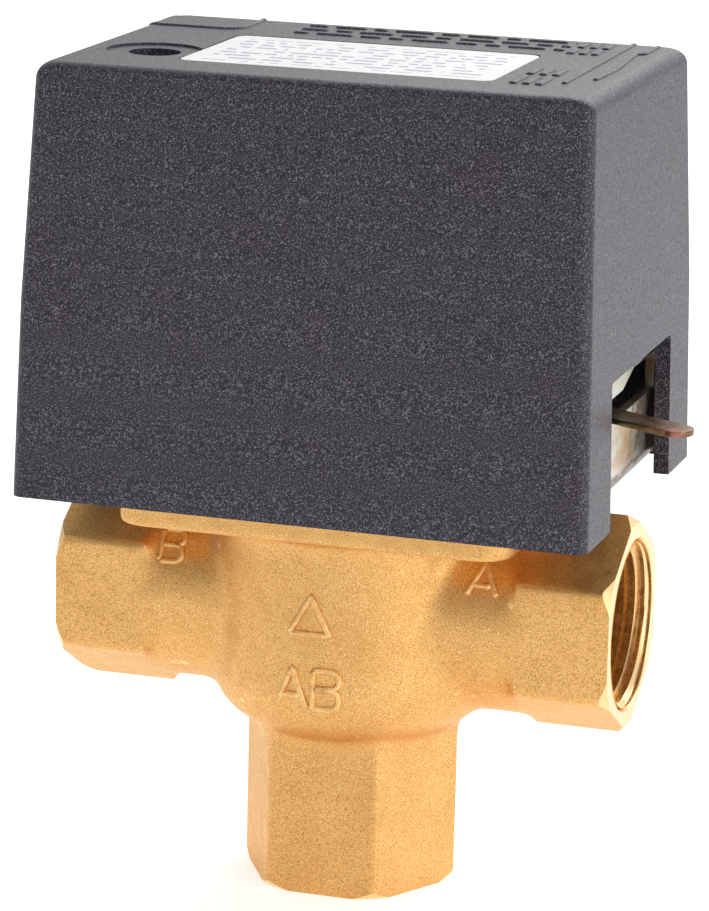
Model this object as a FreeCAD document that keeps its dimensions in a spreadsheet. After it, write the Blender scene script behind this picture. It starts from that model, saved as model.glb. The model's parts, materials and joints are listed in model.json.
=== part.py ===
import FreeCAD, Part
import math
import os
import re

import Sketcher
from FreeCAD import Placement, Rotation, Vector

# Motorised three-port zone valve with a spring return, in millimetres.
#
# Frame: +Z is up, along the AB port. The origin is the centre of the AB port's end face, +X runs
# towards port A and +Y towards the back. Everything below is driven by the sizes in this table.
SIZES = {
    # Brass body: three G 3/4 ports on hexagons, a round chamber and a flat top flange.
    "hex_flats": 31.0,
    "port_reach": 45.75,
    "port_level": 46.0,
    "side_hex_start": 30.5,
    "neck_radius": 15.8,
    "port_chamfer": 1.5,
    "thread_bore_radius": 12.06,
    "thread_depth": 17.0,
    "mouth_radius": 13.4,
    "passage_radius": 9.0,
    "dome_radius": 23.0,
    "dome_round": 9.0,
    "dome_foot": 26.3,
    "flange_length": 64.0,
    "flange_width": 54.0,
    "flange_under": 61.0,
    "flange_round": 5.0,
    "deck": 65.5,
    "chamber_radius": 19.5,
    "chamber_floor": 31.0,
    "seat_plane": 12.4,
    "seat_bore_radius": 7.5,
    "seat_boss_radius": 10.5,
    # Closing bonnet, spindle and the rubber ball on its arm.
    "bonnet_radius": 21.8,
    "bonnet_recess_radius": 22.0,
    "bonnet_thickness": 2.9,
    "bonnet_boss_radius": 7.0,
    "bonnet_boss_drop": 3.0,
    "hub_radius": 8.5,
    "hub_height": 6.0,
    "rim_groove_depth": 1.5,
    "rim_groove_width": 1.7,
    "rim_ring_cord": 0.72,
    "spindle_offset": 10.0,
    "spindle_radius": 4.0,
    "spindle_fit": 0.03,
    "spindle_foot": 55.8,
    "spindle_top": 77.4,
    "ring_groove_radius": 3.0,
    "ring_groove_width": 1.1,
    "ring_cord": 0.5,
    "lower_ring_level": 61.2,
    "upper_ring_level": 68.5,
    "arm_length": 12.0,
    "arm_angle": 35.0,
    "arm_thickness": 3.6,
    "arm_hub_radius": 6.5,
    "arm_end_radius": 4.5,
    "ball_radius": 9.0,
    "ball_pin_radius": 2.0,
    "ball_pin_foot": 40.0,
    # Sheet-metal base plate with its upturned end, and the gear plate on four pillars.
    "sheet": 1.5,
    "base_length": 83.0,
    "base_width": 56.0,
    "base_centre": 0.5,
    "bend_radius": 4.5,
    "upright_height": 22.5,
    "window_left": -14.0,
    "window_right": 24.5,
    "window_level": 79.1,
    "window_left_top": 83.0,
    "window_top": 85.2,
    "window_step_start": 3.3,
    "window_step_end": 10.1,
    "hub_hole_radius": 9.0,
    "screw_slot": 0.8,
    "base_screw_along": 27.0,
    "base_screw_across": 22.0,
    "screw_radius": 2.0,
    "screw_head_radius": 3.5,
    "screw_head_height": 2.4,
    "base_screw_depth": 3.9,
    "plate_length": 73.5,
    "plate_width": 55.0,
    "plate_centre": -3.75,
    "plate_level": 83.0,
    "pillar_radius": 2.5,
    "left_pillars": -37.5,
    "right_pillars": 18.0,
    "pillar_across": 24.8,
    "plate_screw_radius": 1.5,
    "plate_screw_head_radius": 2.7,
    "plate_screw_head_height": 2.0,
    "plate_screw_grip": 5.0,
    "pillar_bore_depth": 6.0,
    "shaft_hole_radius": 5.4,
    # Gear train from the motor pinion to the toothed sector on the spindle.
    "gear_module": 0.8,
    "sector_teeth": 48,
    "sector_level": 72.0,
    "sector_thickness": 3.0,
    "sector_hub_radius": 8.0,
    "pinion_teeth": 12,
    "wheel_teeth": 36,
    "wheel_level": 75.5,
    "wheel_thickness": 3.0,
    "motor_teeth": 10,
    "axle_radius": 1.5,
    "axle_fit": 0.05,
    "gear_hub_radius": 3.0,
    "motor_gear_angle": -55.0,
    "turn": 70.0,
    "trip_lug_angle": -28.0,
    "trip_lug_reach": 28.3,
    "trip_lug_width": 5.0,
    "clip_radius": 6.0,
    "clip_thickness": 0.8,
    "clip_groove_radius": 3.2,
    "spring_radius": 10.3,
    "spring_wire": 0.6,
    "spring_pitch": 1.3,
    "spring_turns": 2.5,
    "spring_level": 67.9,
    "spring_leg": 12.0,
    "spring_post_radius": 1.5,
    "spring_tab_radius": 1.0,
    # Manual lever: its pivot, its arm out through the cover and the fork round the drive pin.
    "lever_pivot_along": 29.0,
    "lever_pivot_across": 4.5,
    "lever_level": 79.5,
    "lever_thickness": 1.0,
    "lever_width": 5.6,
    "lever_reach": 27.2,
    "lever_angle": -27.0,
    "lever_hole_radius": 2.05,
    "lever_pivot_radius": 2.0,
    "lever_post_radius": 3.0,
    "lever_boss_radius": 4.5,
    "fork_width": 8.8,
    "fork_slot": 4.4,
    "fork_lead": 1.5,
    "fork_start": 16.5,
    "fork_end": 26.0,
    "drive_pin_radius": 1.5,
    "drive_pin_orbit": 11.0,
    "drive_pin_lead": 25.8,
    "drive_pin_top": 81.6,
    # Synchronous motor on the gear plate.
    "motor_along": -3.0,
    "motor_across": -2.0,
    "motor_radius": 21.0,
    "motor_height": 17.0,
    "motor_flange": 1.0,
    "motor_can_radius": 20.5,
    "motor_can_round": 1.5,
    "shaft_engagement": 2.0,
    "motor_ear_orbit": 24.8,
    "motor_ear_angle": -115.0,
    "motor_ear_radius": 3.8,
    # Snap-action end switch with its leaf and plunger.
    "switch_length": 20.0,
    "switch_depth": 6.5,
    "switch_height": 10.3,
    "switch_centre": -2.0,
    "switch_front": -20.7,
    "switch_hole_along": 7.0,
    "switch_screw_head_radius": 2.55,
    "switch_screw_head_height": 1.6,
    "leaf_gap": 1.3,
    "leaf_thickness": 0.4,
    "leaf_length": 18.0,
    "leaf_height": 3.0,
    "leaf_pin_radius": 0.5,
    "leaf_curl_radius": 1.0,
    "plunger_radius": 0.8,
    "plunger_distance": 7.2,
    "plunger_length": 2.6,
    # Terminal block on the gear plate.
    "block_length": 26.0,
    "block_depth": 11.0,
    "block_height": 10.5,
    "block_along": 26.0,
    "block_across": 1.0,
    "terminal_pitch": 6.0,
    "terminal_screw_radius": 1.7,
    "wire_hole_radius": 1.6,
    "wire_hole_level": 3.2,
    "terminal_well_floor": 6.0,
    "terminal_screw_height": 2.6,
    # Moulded cover with two stages of draft.
    "cover_bottom": 66.0,
    "cover_knee": 97.0,
    "cover_top": 133.7,
    "cover_length": 92.3,
    "cover_width": 69.0,
    "cover_knee_inset": 0.8,
    "cover_top_inset_along": 2.1,
    "cover_top_inset_across": 3.3,
    "cover_centre": 0.1,
    "cover_corner": 2.0,
    "cover_inner_corner": 0.8,
    "cover_top_round": 2.6,
    "cover_wall": 2.5,
    "slot_width": 38.6,
    "slot_top": 89.1,
    "well_along": -31.6,
    "well_across": -10.8,
    "well_radius": 4.1,
    "well_wall": 1.5,
    "well_floor": 121.0,
    "well_floor_thickness": 2.0,
    "spot_radius": 7.6,
    "spot_depth": 0.4,
    "cover_screw_radius": 1.7,
    "cover_screw_length": 13.0,
    "cover_screw_fit": 0.05,
    "cover_pillar_radius": 3.5,
    "cover_pillar_top": 118.5,
    "cover_pillar_foot_radius": 5.5,
    "cover_pillar_foot_height": 1.5,
    "label_length": 50.0,
    "label_width": 30.0,
    "label_centre": -4.0,
    "label_recess": 0.3,
    "label_thickness": 0.25,
    "label_corner": 2.0,
}

BACKLASH = 0.12
FLANK_STEPS = 5
ROUND_STEPS = 4
PRESSURE_ANGLE = math.radians(20.0)

document = FreeCAD.newDocument("zone_valve")
sheet = document.addObject("Spreadsheet::Sheet", "Sizes")
for row, (alias, number) in enumerate(SIZES.items(), start=1):
    sheet.set(f"A{row}", alias)
    sheet.set(f"B{row}", str(number))
    sheet.setAlias(f"B{row}", alias)
document.recompute()

ALIAS = re.compile(r"\b(" + "|".join(sorted(SIZES, key=len, reverse=True)) + r")\b")
AXES = {
    "+Z": Rotation(),
    "-Z": Rotation(Vector(1, 0, 0), 180),
    "+X": Rotation(Vector(0, 1, 0), 90),
    "-X": Rotation(Vector(0, 1, 0), -90),
    "+Y": Rotation(Vector(1, 0, 0), -90),
    "-Y": Rotation(Vector(1, 0, 0), 90),
}
nodes = []


# --- Working with the sheet -----------------------------------------------------------------------

def mm(alias):
    """The number in the sheet's cell of that name."""
    return float(getattr(sheet, alias))


def bind(item, **texts):
    """Bind properties of an object to expressions written with the sheet's names."""
    for name, text in texts.items():
        item.setExpression(name, ALIAS.sub(r"Sizes.\1", str(text)))


def place(item, x=0, y=0, z=0, axis="+Z"):
    """Put an object's own origin at x, y, z, with its own Z along an axis."""
    item.Placement = Placement(Vector(), AXES[axis])
    for letter, text in (("x", x), ("y", y), ("z", z)):
        item.setExpression(f".Placement.Base.{letter}", ALIAS.sub(r"Sizes.\1", str(text)))


def node(item):
    """Keep this object as a sub-part: its name is its label and the name of its file."""
    item.Label = item.Name
    nodes.append(item)
    return item


# --- Solid primitives and booleans ----------------------------------------------------------------

def cylinder(name, radius, height, **where):
    item = document.addObject("Part::Cylinder", name)
    bind(item, Radius=radius, Height=height)
    place(item, **where)
    return item


def cone(name, radius, end_radius, height, **where):
    item = document.addObject("Part::Cone", name)
    bind(item, Radius1=radius, Radius2=end_radius, Height=height)
    place(item, **where)
    return item


def torus(name, radius, cord, **where):
    item = document.addObject("Part::Torus", name)
    bind(item, Radius1=radius, Radius2=cord)
    place(item, **where)
    return item


def sphere(name, radius, **where):
    item = document.addObject("Part::Sphere", name)
    bind(item, Radius=radius)
    place(item, **where)
    return item


def box(name, length, width, height, x=0, y=0, z=0):
    """A box centred on x and y, standing on z."""
    item = document.addObject("Part::Box", name)
    bind(item, Length=length, Width=width, Height=height)
    place(item, f"({x}) - ({length}) / 2", f"({y}) - ({width}) / 2", z)
    return item


def hexagon(name, flats, height, **where):
    item = document.addObject("Part::Prism", name)
    item.Polygon = 6
    bind(item, Circumradius=f"({flats}) / sqrt(3)", Height=height)
    place(item, **where)
    return item


def fuse(name, *shapes):
    item = document.addObject("Part::MultiFuse", name)
    item.Shapes = list(shapes)
    return item


def common(name, *shapes):
    item = document.addObject("Part::MultiCommon", name)
    item.Shapes = list(shapes)
    return item


def cut(name, base, *tools):
    item = document.addObject("Part::Cut", name)
    item.Base = base
    item.Tool = tools[0] if len(tools) == 1 else fuse(name + "_tools", *tools)
    return item


def feature(name, shape):
    """A sub-part or tool whose shape is computed from the sheet's numbers."""
    item = document.addObject("Part::Feature", name)
    item.Shape = shape
    item.Placement = Placement()
    return item


def group(name, shapes):
    """Identical separate solids kept together as one object."""
    item = document.addObject("Part::Compound", name)
    item.Links = list(shapes)
    return item


# --- Sketched bodies ------------------------------------------------------------------------------

def body(name):
    return document.addObject("PartDesign::Body", name)


def sketch(owner, name, plane="XY_Plane", x=0, y=0, offset=0):
    """A sketch on one of the body's own planes, with its origin moved to x, y and offset."""
    support = next(item for item in owner.Origin.OriginFeatures if item.Role == plane)
    item = owner.newObject("Sketcher::SketchObject", name)
    item.AttachmentSupport = [(support, "")]
    item.MapMode = "FlatFace"
    for letter, text in (("x", x), ("y", y), ("z", offset)):
        item.setExpression(f".AttachmentOffset.Base.{letter}", ALIAS.sub(r"Sizes.\1", str(text)))
    return item


def dimension(item, constraint, name, text):
    """Add a named dimension to a sketch and bind it to an expression."""
    index = item.addConstraint(constraint)
    item.renameConstraint(index, name)
    item.setExpression(f".Constraints.{name}", ALIAS.sub(r"Sizes.\1", str(text)))


def circle(item, radius):
    """A circle round the sketch's origin."""
    item.addGeometry(Part.Circle(Vector(), Vector(0, 0, 1), 1.0))
    item.addConstraint(Sketcher.Constraint("Coincident", 0, 3, -1, 1))
    dimension(item, Sketcher.Constraint("Radius", 0, 1.0), "radius", radius)


def rectangle(item, width, height, start=(10.0, 6.0)):
    """A rectangle centred on the sketch's origin; start is any size of its first, unsolved shape."""
    half_x = start[0] / 2
    half_y = start[1] / 2
    corners = [Vector(x, y) for x, y in ((-half_x, -half_y), (half_x, -half_y), (half_x, half_y),
                                         (-half_x, half_y))]
    for index in range(4):
        item.addGeometry(Part.LineSegment(corners[index], corners[(index + 1) % 4]))
    for index in range(4):
        item.addConstraint(Sketcher.Constraint("Coincident", index, 2, (index + 1) % 4, 1))
        item.addConstraint(Sketcher.Constraint(("Horizontal", "Vertical")[index % 2], index))
    item.addConstraint(Sketcher.Constraint("Symmetric", 0, 1, 2, 1, -1, 1))
    dimension(item, Sketcher.Constraint("DistanceX", 0, 1, 0, 2, start[0]), "width", width)
    dimension(item, Sketcher.Constraint("DistanceY", 1, 1, 1, 2, start[1]), "height", height)


def outline(item, first, corners):
    """A closed outline of straight lines; the sketch's origin lies 1 mm outside its first corner."""
    points = [Vector(mm(x) - mm(first[0]) + 1, mm(y) - mm(first[1]) + 1) for x, y in corners]
    count = len(points)
    for index in range(count):
        item.addGeometry(Part.LineSegment(points[index], points[(index + 1) % count]))
    for index, (x, y) in enumerate(corners):
        item.addConstraint(Sketcher.Constraint("Coincident", index, 2, (index + 1) % count, 1))
        dimension(item, Sketcher.Constraint("DistanceX", -1, 1, index, 1, points[index].x),
                  f"x_{index}", f"{x} - {first[0]} + 1")
        dimension(item, Sketcher.Constraint("DistanceY", -1, 1, index, 1, points[index].y),
                  f"y_{index}", f"{y} - {first[1]} + 1")


def rounded_rectangle(item, width, height, radius, start):
    """A rectangle with round corners round the sketch's origin; start is about its final size."""
    round_start = start[2]
    centre_x = start[0] / 2 - round_start
    centre_y = start[1] / 2 - round_start
    signs = ((1, -1), (1, 1), (-1, 1), (-1, -1))
    for index, (sign_x, sign_y) in enumerate(signs):
        first = (index - 1) * math.pi / 2
        centre = Vector(sign_x * centre_x, sign_y * centre_y)
        item.addGeometry(Part.ArcOfCircle(Part.Circle(centre, Vector(0, 0, 1), round_start),
                                          first, first + math.pi / 2))
    for index in range(4):
        this = item.Geometry[index]
        following = item.Geometry[(index + 1) % 4]
        item.addGeometry(Part.LineSegment(this.EndPoint, following.StartPoint))
    for index in range(4):
        line = 4 + index
        item.addConstraint(Sketcher.Constraint("Tangent", index, 2, line, 1))
        item.addConstraint(Sketcher.Constraint("Tangent", line, 2, (index + 1) % 4, 1))
    for index in range(3):
        item.addConstraint(Sketcher.Constraint("Equal", index, index + 1))
    for index in range(4):
        item.addConstraint(Sketcher.Constraint(("Vertical", "Horizontal")[index % 2], 4 + index))
    item.addConstraint(Sketcher.Constraint("Symmetric", 0, 3, 2, 3, -1, 1))
    dimension(item, Sketcher.Constraint("Radius", 0, round_start), "radius", radius)
    dimension(item, Sketcher.Constraint("DistanceX", 3, 3, 0, 3, 2 * centre_x), "width",
              f"({width}) - 2 * ({radius})")
    dimension(item, Sketcher.Constraint("DistanceY", 0, 3, 1, 3, 2 * centre_y), "height",
              f"({height}) - 2 * ({radius})")


def pad(owner, profile, length, name):
    """Add material from a sketch along its normal."""
    item = owner.newObject("PartDesign::Pad", name)
    item.Profile = profile
    bind(item, Length=length)
    document.recompute()
    return item


def pocket(owner, profile, length, name, forward=False):
    """Cut from a sketch against its normal, or along it if forward, and check that it did cut."""
    before = owner.Shape.Volume
    item = owner.newObject("PartDesign::Pocket", name)
    item.Profile = profile
    item.Reversed = forward
    bind(item, Length=length)
    document.recompute()
    if not owner.Shape.Volume < before - 1e-6:
        raise RuntimeError(f"{name} cut nothing")
    return item


def round_edges(owner, base, test, radius, name):
    """Fillet the edges of a feature that the test picks."""
    document.recompute()
    chosen = [f"Edge{index}" for index, edge in enumerate(base.Shape.Edges, start=1) if test(edge)]
    item = owner.newObject("PartDesign::Fillet", name)
    item.Base = (base, chosen)
    bind(item, Radius=radius)
    document.recompute()
    return item


def hole(owner, name, radius, x, y, top, depth):
    """A round hole down from the level called top."""
    profile = sketch(owner, name + "_sketch", x=x, y=y, offset=top)
    circle(profile, radius)
    return pocket(owner, profile, depth, name)


def upright(edge):
    """True for an edge that runs along Z."""
    return abs(edge.BoundBox.ZLength - edge.Length) < 1e-4


# --- Gears ----------------------------------------------------------------------------------------

def involute_flank(pitch_radius, root_radius, tip_radius, half_angle):
    """Points from root to tip of a tooth's left flank, the tooth being centred on the angle 0."""
    base_radius = pitch_radius * math.cos(PRESSURE_ANGLE)
    pitch_roll = math.tan(PRESSURE_ANGLE) - PRESSURE_ANGLE
    start_radius = max(base_radius, root_radius)
    points = []
    if root_radius < base_radius:
        points.append((root_radius, half_angle + pitch_roll))
    for step in range(FLANK_STEPS + 1):
        radius = start_radius + (tip_radius - start_radius) * step / FLANK_STEPS
        pressure = math.acos(min(1.0, base_radius / radius))
        points.append((radius, half_angle + pitch_roll - (math.tan(pressure) - pressure)))
    return points


def gear_outline(teeth, module, first=0, count=None, phase=0.0):
    """Closed outline of an involute gear, or of its toothed part with count teeth from first on."""
    pitch_radius = module * teeth / 2
    tip_radius = pitch_radius + 0.8 * module
    root_radius = pitch_radius - 1.15 * module
    half_angle = (math.pi * module / 2 - BACKLASH) / 2 / pitch_radius
    flank = involute_flank(pitch_radius, root_radius, tip_radius, half_angle)
    outline = []
    for tooth in range(first, first + (teeth if count is None else count)):
        centre = phase + 2 * math.pi * tooth / teeth
        outline += [(radius, centre - angle) for radius, angle in flank]
        outline += [(radius, centre + angle) for radius, angle in reversed(flank)]
    return [Vector(radius * math.cos(angle), radius * math.sin(angle)) for radius, angle in outline]


def prism(points, level, height):
    """An upright solid over a closed outline of straight edges."""
    face = Part.Face(Part.makePolygon([Vector(p.x, p.y, level) for p in points + points[:1]]))
    return face.extrude(Vector(0, 0, height))


def polar(radius, degrees, x=0.0, y=0.0):
    """The point at a distance and angle from x, y."""
    angle = math.radians(degrees)
    return Vector(x + radius * math.cos(angle), y + radius * math.sin(angle))


def arm(start, end, width, level, height):
    """A straight bar between two points with a round end at the second."""
    along = (end - start).normalize()
    side = Vector(-along.y, along.x) * (width / 2)
    bar = prism([start + side, start - side, end - side, end + side], level, height)
    tip = Part.makeCylinder(width / 2, height, Vector(end.x, end.y, level))
    return bar.fuse(tip)


# --- Places worked out from the sizes -------------------------------------------------------------

SPINDLE = Vector(0, mm("spindle_offset"))
IDLER_REACH = mm("gear_module") * (mm("sector_teeth") + mm("pinion_teeth")) / 2
IDLER = SPINDLE - Vector(IDLER_REACH, 0)
MOTOR_REACH = mm("gear_module") * (mm("wheel_teeth") + mm("motor_teeth")) / 2
MOTOR_SHAFT = polar(MOTOR_REACH, mm("motor_gear_angle"), IDLER.x, IDLER.y)
LEVER_PIVOT = Vector(mm("lever_pivot_along"), mm("lever_pivot_across"))
LEVER_SIDE = math.degrees(math.atan2(LEVER_PIVOT.y - SPINDLE.y, LEVER_PIVOT.x - SPINDLE.x))
DRIVE_PIN = polar(mm("drive_pin_orbit"), LEVER_SIDE + mm("drive_pin_lead"), SPINDLE.x, SPINDLE.y)
BALL = polar(mm("arm_length"), mm("arm_angle") - 90, SPINDLE.x, SPINDLE.y)
MOTOR = Vector(mm("motor_along"), mm("motor_across"))
BASE_TOP = "deck + sheet"
PLATE_TOP = "plate_level + sheet"
LABEL_START = (mm("label_length"), mm("label_width"), mm("label_corner"))


def corners(along, across):
    """The four corners of a rectangle about the origin, as expressions."""
    return [(f"{sign_x} * {along}", f"{sign_y} * {across}")
            for sign_x in (-1, 1) for sign_y in (-1, 1)]


def pillar_places():
    return [(along, f"{sign} * pillar_across")
            for along in ("left_pillars", "right_pillars") for sign in (-1, 1)]


# --- Brass valve ----------------------------------------------------------------------------------

def hex_port(name, start, reach, **where):
    """A hexagonal end from start to reach along its axis, with its outer corners turned off."""
    blank = hexagon(name + "_hex", "hex_flats", f"({reach}) - ({start})", **where)
    turned = cylinder(name + "_turned", "hex_flats / sqrt(3)",
                      f"({reach}) - ({start}) - port_chamfer", **where)
    return blank, turned


def side_port(side):
    """The hexagon of port A (+X) or port B (-X)."""
    sign = 1 if side == "a" else -1
    axis = "+X" if side == "a" else "-X"
    name = f"port_{side}"
    blank, turned = hex_port(name, "side_hex_start", "port_reach",
                             x=f"{sign} * side_hex_start", z="port_level", axis=axis)
    chamfer = cone(name + "_chamfer", "hex_flats / sqrt(3)", "hex_flats / sqrt(3) - port_chamfer",
                   "port_chamfer", x=f"{sign} * (port_reach - port_chamfer)", z="port_level",
                   axis=axis)
    return common(name + "_end", blank, fuse(name + "_round", turned, chamfer))


def bottom_port():
    """The hexagon of port AB, up into the dome."""
    blank, turned = hex_port("port_ab", "0", "dome_foot + 6", z="dome_foot + 6", axis="-Z")
    chamfer = cone("port_ab_chamfer", "hex_flats / sqrt(3)", "hex_flats / sqrt(3) - port_chamfer",
                   "port_chamfer", z="port_chamfer", axis="-Z")
    return common("port_ab_end", blank, fuse("port_ab_round", turned, chamfer))


def dome():
    """The chamber's round wall, with a rounded lower edge."""
    wall = cylinder("dome_wall", "dome_radius", "deck - dome_foot", z="dome_foot")
    rounded = document.addObject("Part::Fillet", "dome")
    rounded.Base = wall
    document.recompute()
    foot = mm("dome_foot")
    lower = [index for index, edge in enumerate(wall.Shape.Edges, start=1)
             if edge.BoundBox.ZMax < foot + 1e-6]
    rounded.Edges = [(index, mm("dome_round"), mm("dome_round")) for index in lower]
    return rounded


def top_flange():
    """The flat flange that carries the actuator."""
    plate = box("flange_blank", "flange_length", "flange_width", "deck - flange_under",
                z="flange_under")
    rounded = document.addObject("Part::Fillet", "flange")
    rounded.Base = plate
    document.recompute()
    rounded.Edges = [(index, mm("flange_round"), mm("flange_round"))
                     for index, edge in enumerate(plate.Shape.Edges, start=1) if upright(edge)]
    return rounded


def port_bores():
    """Thread bore and passage of each port; the mouths of the side ports are chamfered."""
    drills = []
    directions = {"a": ("port_reach", "port_level", "-X"), "b": ("-port_reach", "port_level", "+X"),
                  "ab": ("0", "0", "+Z")}
    for side, (along, level, axis) in directions.items():
        where = {"x": along, "z": level, "axis": axis}
        depth = "port_level" if side == "ab" else "port_reach - seat_plane - 6"
        drills.append(cylinder(f"thread_bore_{side}", "thread_bore_radius", "thread_depth", **where))
        drills.append(cylinder(f"passage_{side}", "passage_radius", depth, **where))
        if side != "ab":
            drills.append(cone(f"mouth_{side}", "mouth_radius", "thread_bore_radius",
                               "mouth_radius - thread_bore_radius", **where))
    return drills


def valve_body():
    """Brass body: three hexagonal ports, the round chamber, the flange and two ball seats."""
    neck = cylinder("neck", "neck_radius", "2 * side_hex_start", x="-side_hex_start", z="port_level",
                    axis="+X")
    outside = fuse("body_outside", neck, side_port("a"), side_port("b"), bottom_port(), dome(),
                   top_flange())
    chamber = cylinder("chamber", "chamber_radius", "deck - chamber_floor", z="chamber_floor")
    recess = cylinder("bonnet_recess", "bonnet_recess_radius", "bonnet_thickness",
                      z="deck - bonnet_thickness")
    screw_holes = [cylinder(f"base_screw_hole_{index}", "screw_radius", "base_screw_depth", x=x, y=y,
                            z="deck - base_screw_depth")
                   for index, (x, y) in enumerate(corners("base_screw_along", "base_screw_across"))]
    hollow = cut("body_hollow", outside, chamber, recess, *port_bores(), *screw_holes)
    bosses = [cylinder(f"seat_boss_{side}", "seat_boss_radius", "chamber_radius - seat_plane + 2",
                       x=f"{sign} * seat_plane", z="port_level", axis=axis)
              for side, sign, axis in (("a", 1, "+X"), ("b", -1, "-X"))]
    seated = fuse("body_seated", hollow, *bosses)
    seats = [cylinder(f"seat_bore_{side}", "seat_bore_radius", "port_reach - seat_plane",
                      x=f"{sign} * seat_plane", z="port_level", axis=axis)
             for side, sign, axis in (("a", 1, "+X"), ("b", -1, "-X"))]
    return cut("valve_body", seated, *seats)


def bonnet():
    """Brass disc that closes the chamber, with a boss below and a hub above for the spindle."""
    disc = cylinder("bonnet_disc", "bonnet_radius", "bonnet_thickness", z="deck - bonnet_thickness")
    boss = cylinder("bonnet_boss", "bonnet_boss_radius", "bonnet_boss_drop", y="spindle_offset",
                    z="deck - bonnet_thickness - bonnet_boss_drop")
    hub = cylinder("bonnet_hub", "hub_radius", "hub_height", y="spindle_offset", z="deck")
    groove_level = "deck - bonnet_thickness / 2 - rim_groove_width / 2"
    rim = cut("bonnet_groove",
              cylinder("groove_outside", "bonnet_radius + 1", "rim_groove_width", z=groove_level),
              cylinder("groove_inside", "bonnet_radius - rim_groove_depth", "rim_groove_width",
                       z=groove_level))
    bore = cylinder("bonnet_bore", "spindle_radius + spindle_fit", "spindle_top - spindle_foot",
                    y="spindle_offset", z="spindle_foot")
    return cut("bonnet", fuse("bonnet_solid", disc, boss, hub), rim, bore)


def bonnet_o_ring():
    return torus("bonnet_o_ring", "bonnet_radius - rim_groove_depth / 2", "rim_ring_cord",
                 z="deck - bonnet_thickness / 2")


def ring_groove(name, radius, width, level):
    """A washer-shaped cutter that leaves a groove of this radius round the spindle."""
    where = {"y": "spindle_offset", "z": f"({level}) - ({width}) / 2"}
    return cut(name, cylinder(name + "_outside", "spindle_radius + 1", width, **where),
               cylinder(name + "_inside", radius, width, **where))


def spindle():
    """Steel spindle with two O-ring grooves and one for the retaining clip."""
    rod = cylinder("spindle_rod", "spindle_radius", "spindle_top - spindle_foot",
                   y="spindle_offset", z="spindle_foot")
    grooves = [ring_groove(f"ring_groove_{level}", "ring_groove_radius", "ring_groove_width", level)
               for level in ("lower_ring_level", "upper_ring_level")]
    clip_groove = ring_groove("clip_groove", "clip_groove_radius", "clip_thickness",
                              "sector_level + sector_thickness + 0.6")
    return cut("spindle", rod, *grooves, clip_groove)


def spindle_o_ring(name, level):
    return torus(name, "ring_groove_radius + ring_cord + 0.01", "ring_cord", y="spindle_offset",
                 z=level)


def ball_arm():
    """Brass crank from the spindle to the pin above the ball."""
    level = mm("spindle_foot")
    thickness = mm("arm_thickness")
    bar = arm(SPINDLE, BALL, 2 * mm("arm_end_radius"), level, thickness)
    hub = Part.makeCylinder(mm("arm_hub_radius"), thickness, SPINDLE + Vector(0, 0, level))
    bores = [Part.makeCylinder(radius, thickness, centre + Vector(0, 0, level))
             for radius, centre in ((mm("spindle_radius"), SPINDLE), (mm("ball_pin_radius"), BALL))]
    return feature("ball_arm", bar.fuse(hub).cut(Part.makeCompound(bores)))


def ball_pin():
    return cylinder("ball_pin", "ball_pin_radius", "spindle_foot + arm_thickness - ball_pin_foot",
                    x=BALL.x, y=BALL.y, z="ball_pin_foot")


def valve_ball():
    """Rubber ball moulded on its pin."""
    ball = sphere("ball_blank", "ball_radius", x=BALL.x, y=BALL.y, z="port_level")
    bore = cylinder("ball_bore", "ball_pin_radius", "2 * ball_radius", x=BALL.x, y=BALL.y,
                    z="ball_pin_foot")
    return cut("valve_ball", ball, bore)


# --- Base plate, gear plate and what holds them ---------------------------------------------------

def base_plate():
    """Sheet steel with one end bent up; the lever leaves through the window in that end."""
    owner = body("base_plate")
    flat = sketch(owner, "base_flat_sketch", x="base_centre", offset="deck")
    rectangle(flat, "base_length", "base_width")
    pad(owner, flat, "sheet", "base_flat")
    end = sketch(owner, "base_end_sketch", x="base_centre + base_length / 2 - sheet / 2",
                 offset="deck")
    rectangle(end, "sheet", "base_width")
    wall = pad(owner, end, "upright_height", "base_end")
    end_x = mm("base_centre") + mm("base_length") / 2
    deck = mm("deck")

    def outer_bend(edge):
        middle = edge.BoundBox.Center
        return abs(middle.x - end_x) < 1e-4 and abs(middle.z - deck) < 1e-4

    def inner_bend(edge):
        middle = edge.BoundBox.Center
        return (abs(middle.x - end_x + mm("sheet")) < 1e-4
                and abs(middle.z - deck - mm("sheet")) < 1e-4)

    bent = round_edges(owner, wall, outer_bend, "bend_radius", "outer_bend")
    round_edges(owner, bent, inner_bend, "bend_radius - sheet", "inner_bend")
    window = sketch(owner, "window_sketch", "YZ_Plane", x="window_left - 1", y="window_level - 1",
                    offset="base_centre + base_length / 2 + 1")
    outline(window, ("window_left", "window_level"),
            [("window_left", "window_level"), ("window_right", "window_level"),
             ("window_right", "window_top"), ("window_step_end", "window_top"),
             ("window_step_start", "window_left_top"), ("window_left", "window_left_top")])
    pocket(owner, window, "sheet + 2", "window")
    hole(owner, "hub_hole", "hub_hole_radius", 0, "spindle_offset", BASE_TOP, "sheet")
    for index, (x, y) in enumerate(corners("base_screw_along", "base_screw_across")):
        hole(owner, f"base_hole_{index}", "screw_radius", x, y, BASE_TOP, "sheet")
    return owner


def screw(name, shank_radius, shank_length, head_radius, head_height, x, y, level):
    """A cheese-head screw standing on level, with a slot across its head."""
    head = cylinder(name + "_head", head_radius, head_height, x=x, y=y, z=level)
    shank = cylinder(name + "_shank", shank_radius, shank_length, x=x, y=y,
                     z=f"({level}) - ({shank_length})")
    slot = box(name + "_slot", f"2 * ({head_radius})", "screw_slot", f"({head_height}) / 2", x, y,
               f"({level}) + ({head_height}) / 2")
    return cut(name, fuse(name + "_solid", head, shank), slot)


def base_screws():
    return group("base_screws", [
        screw(f"base_screw_{index}", "screw_radius", "sheet + base_screw_depth",
              "screw_head_radius", "screw_head_height", x, y, BASE_TOP)
        for index, (x, y) in enumerate(corners("base_screw_along", "base_screw_across"))])


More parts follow.
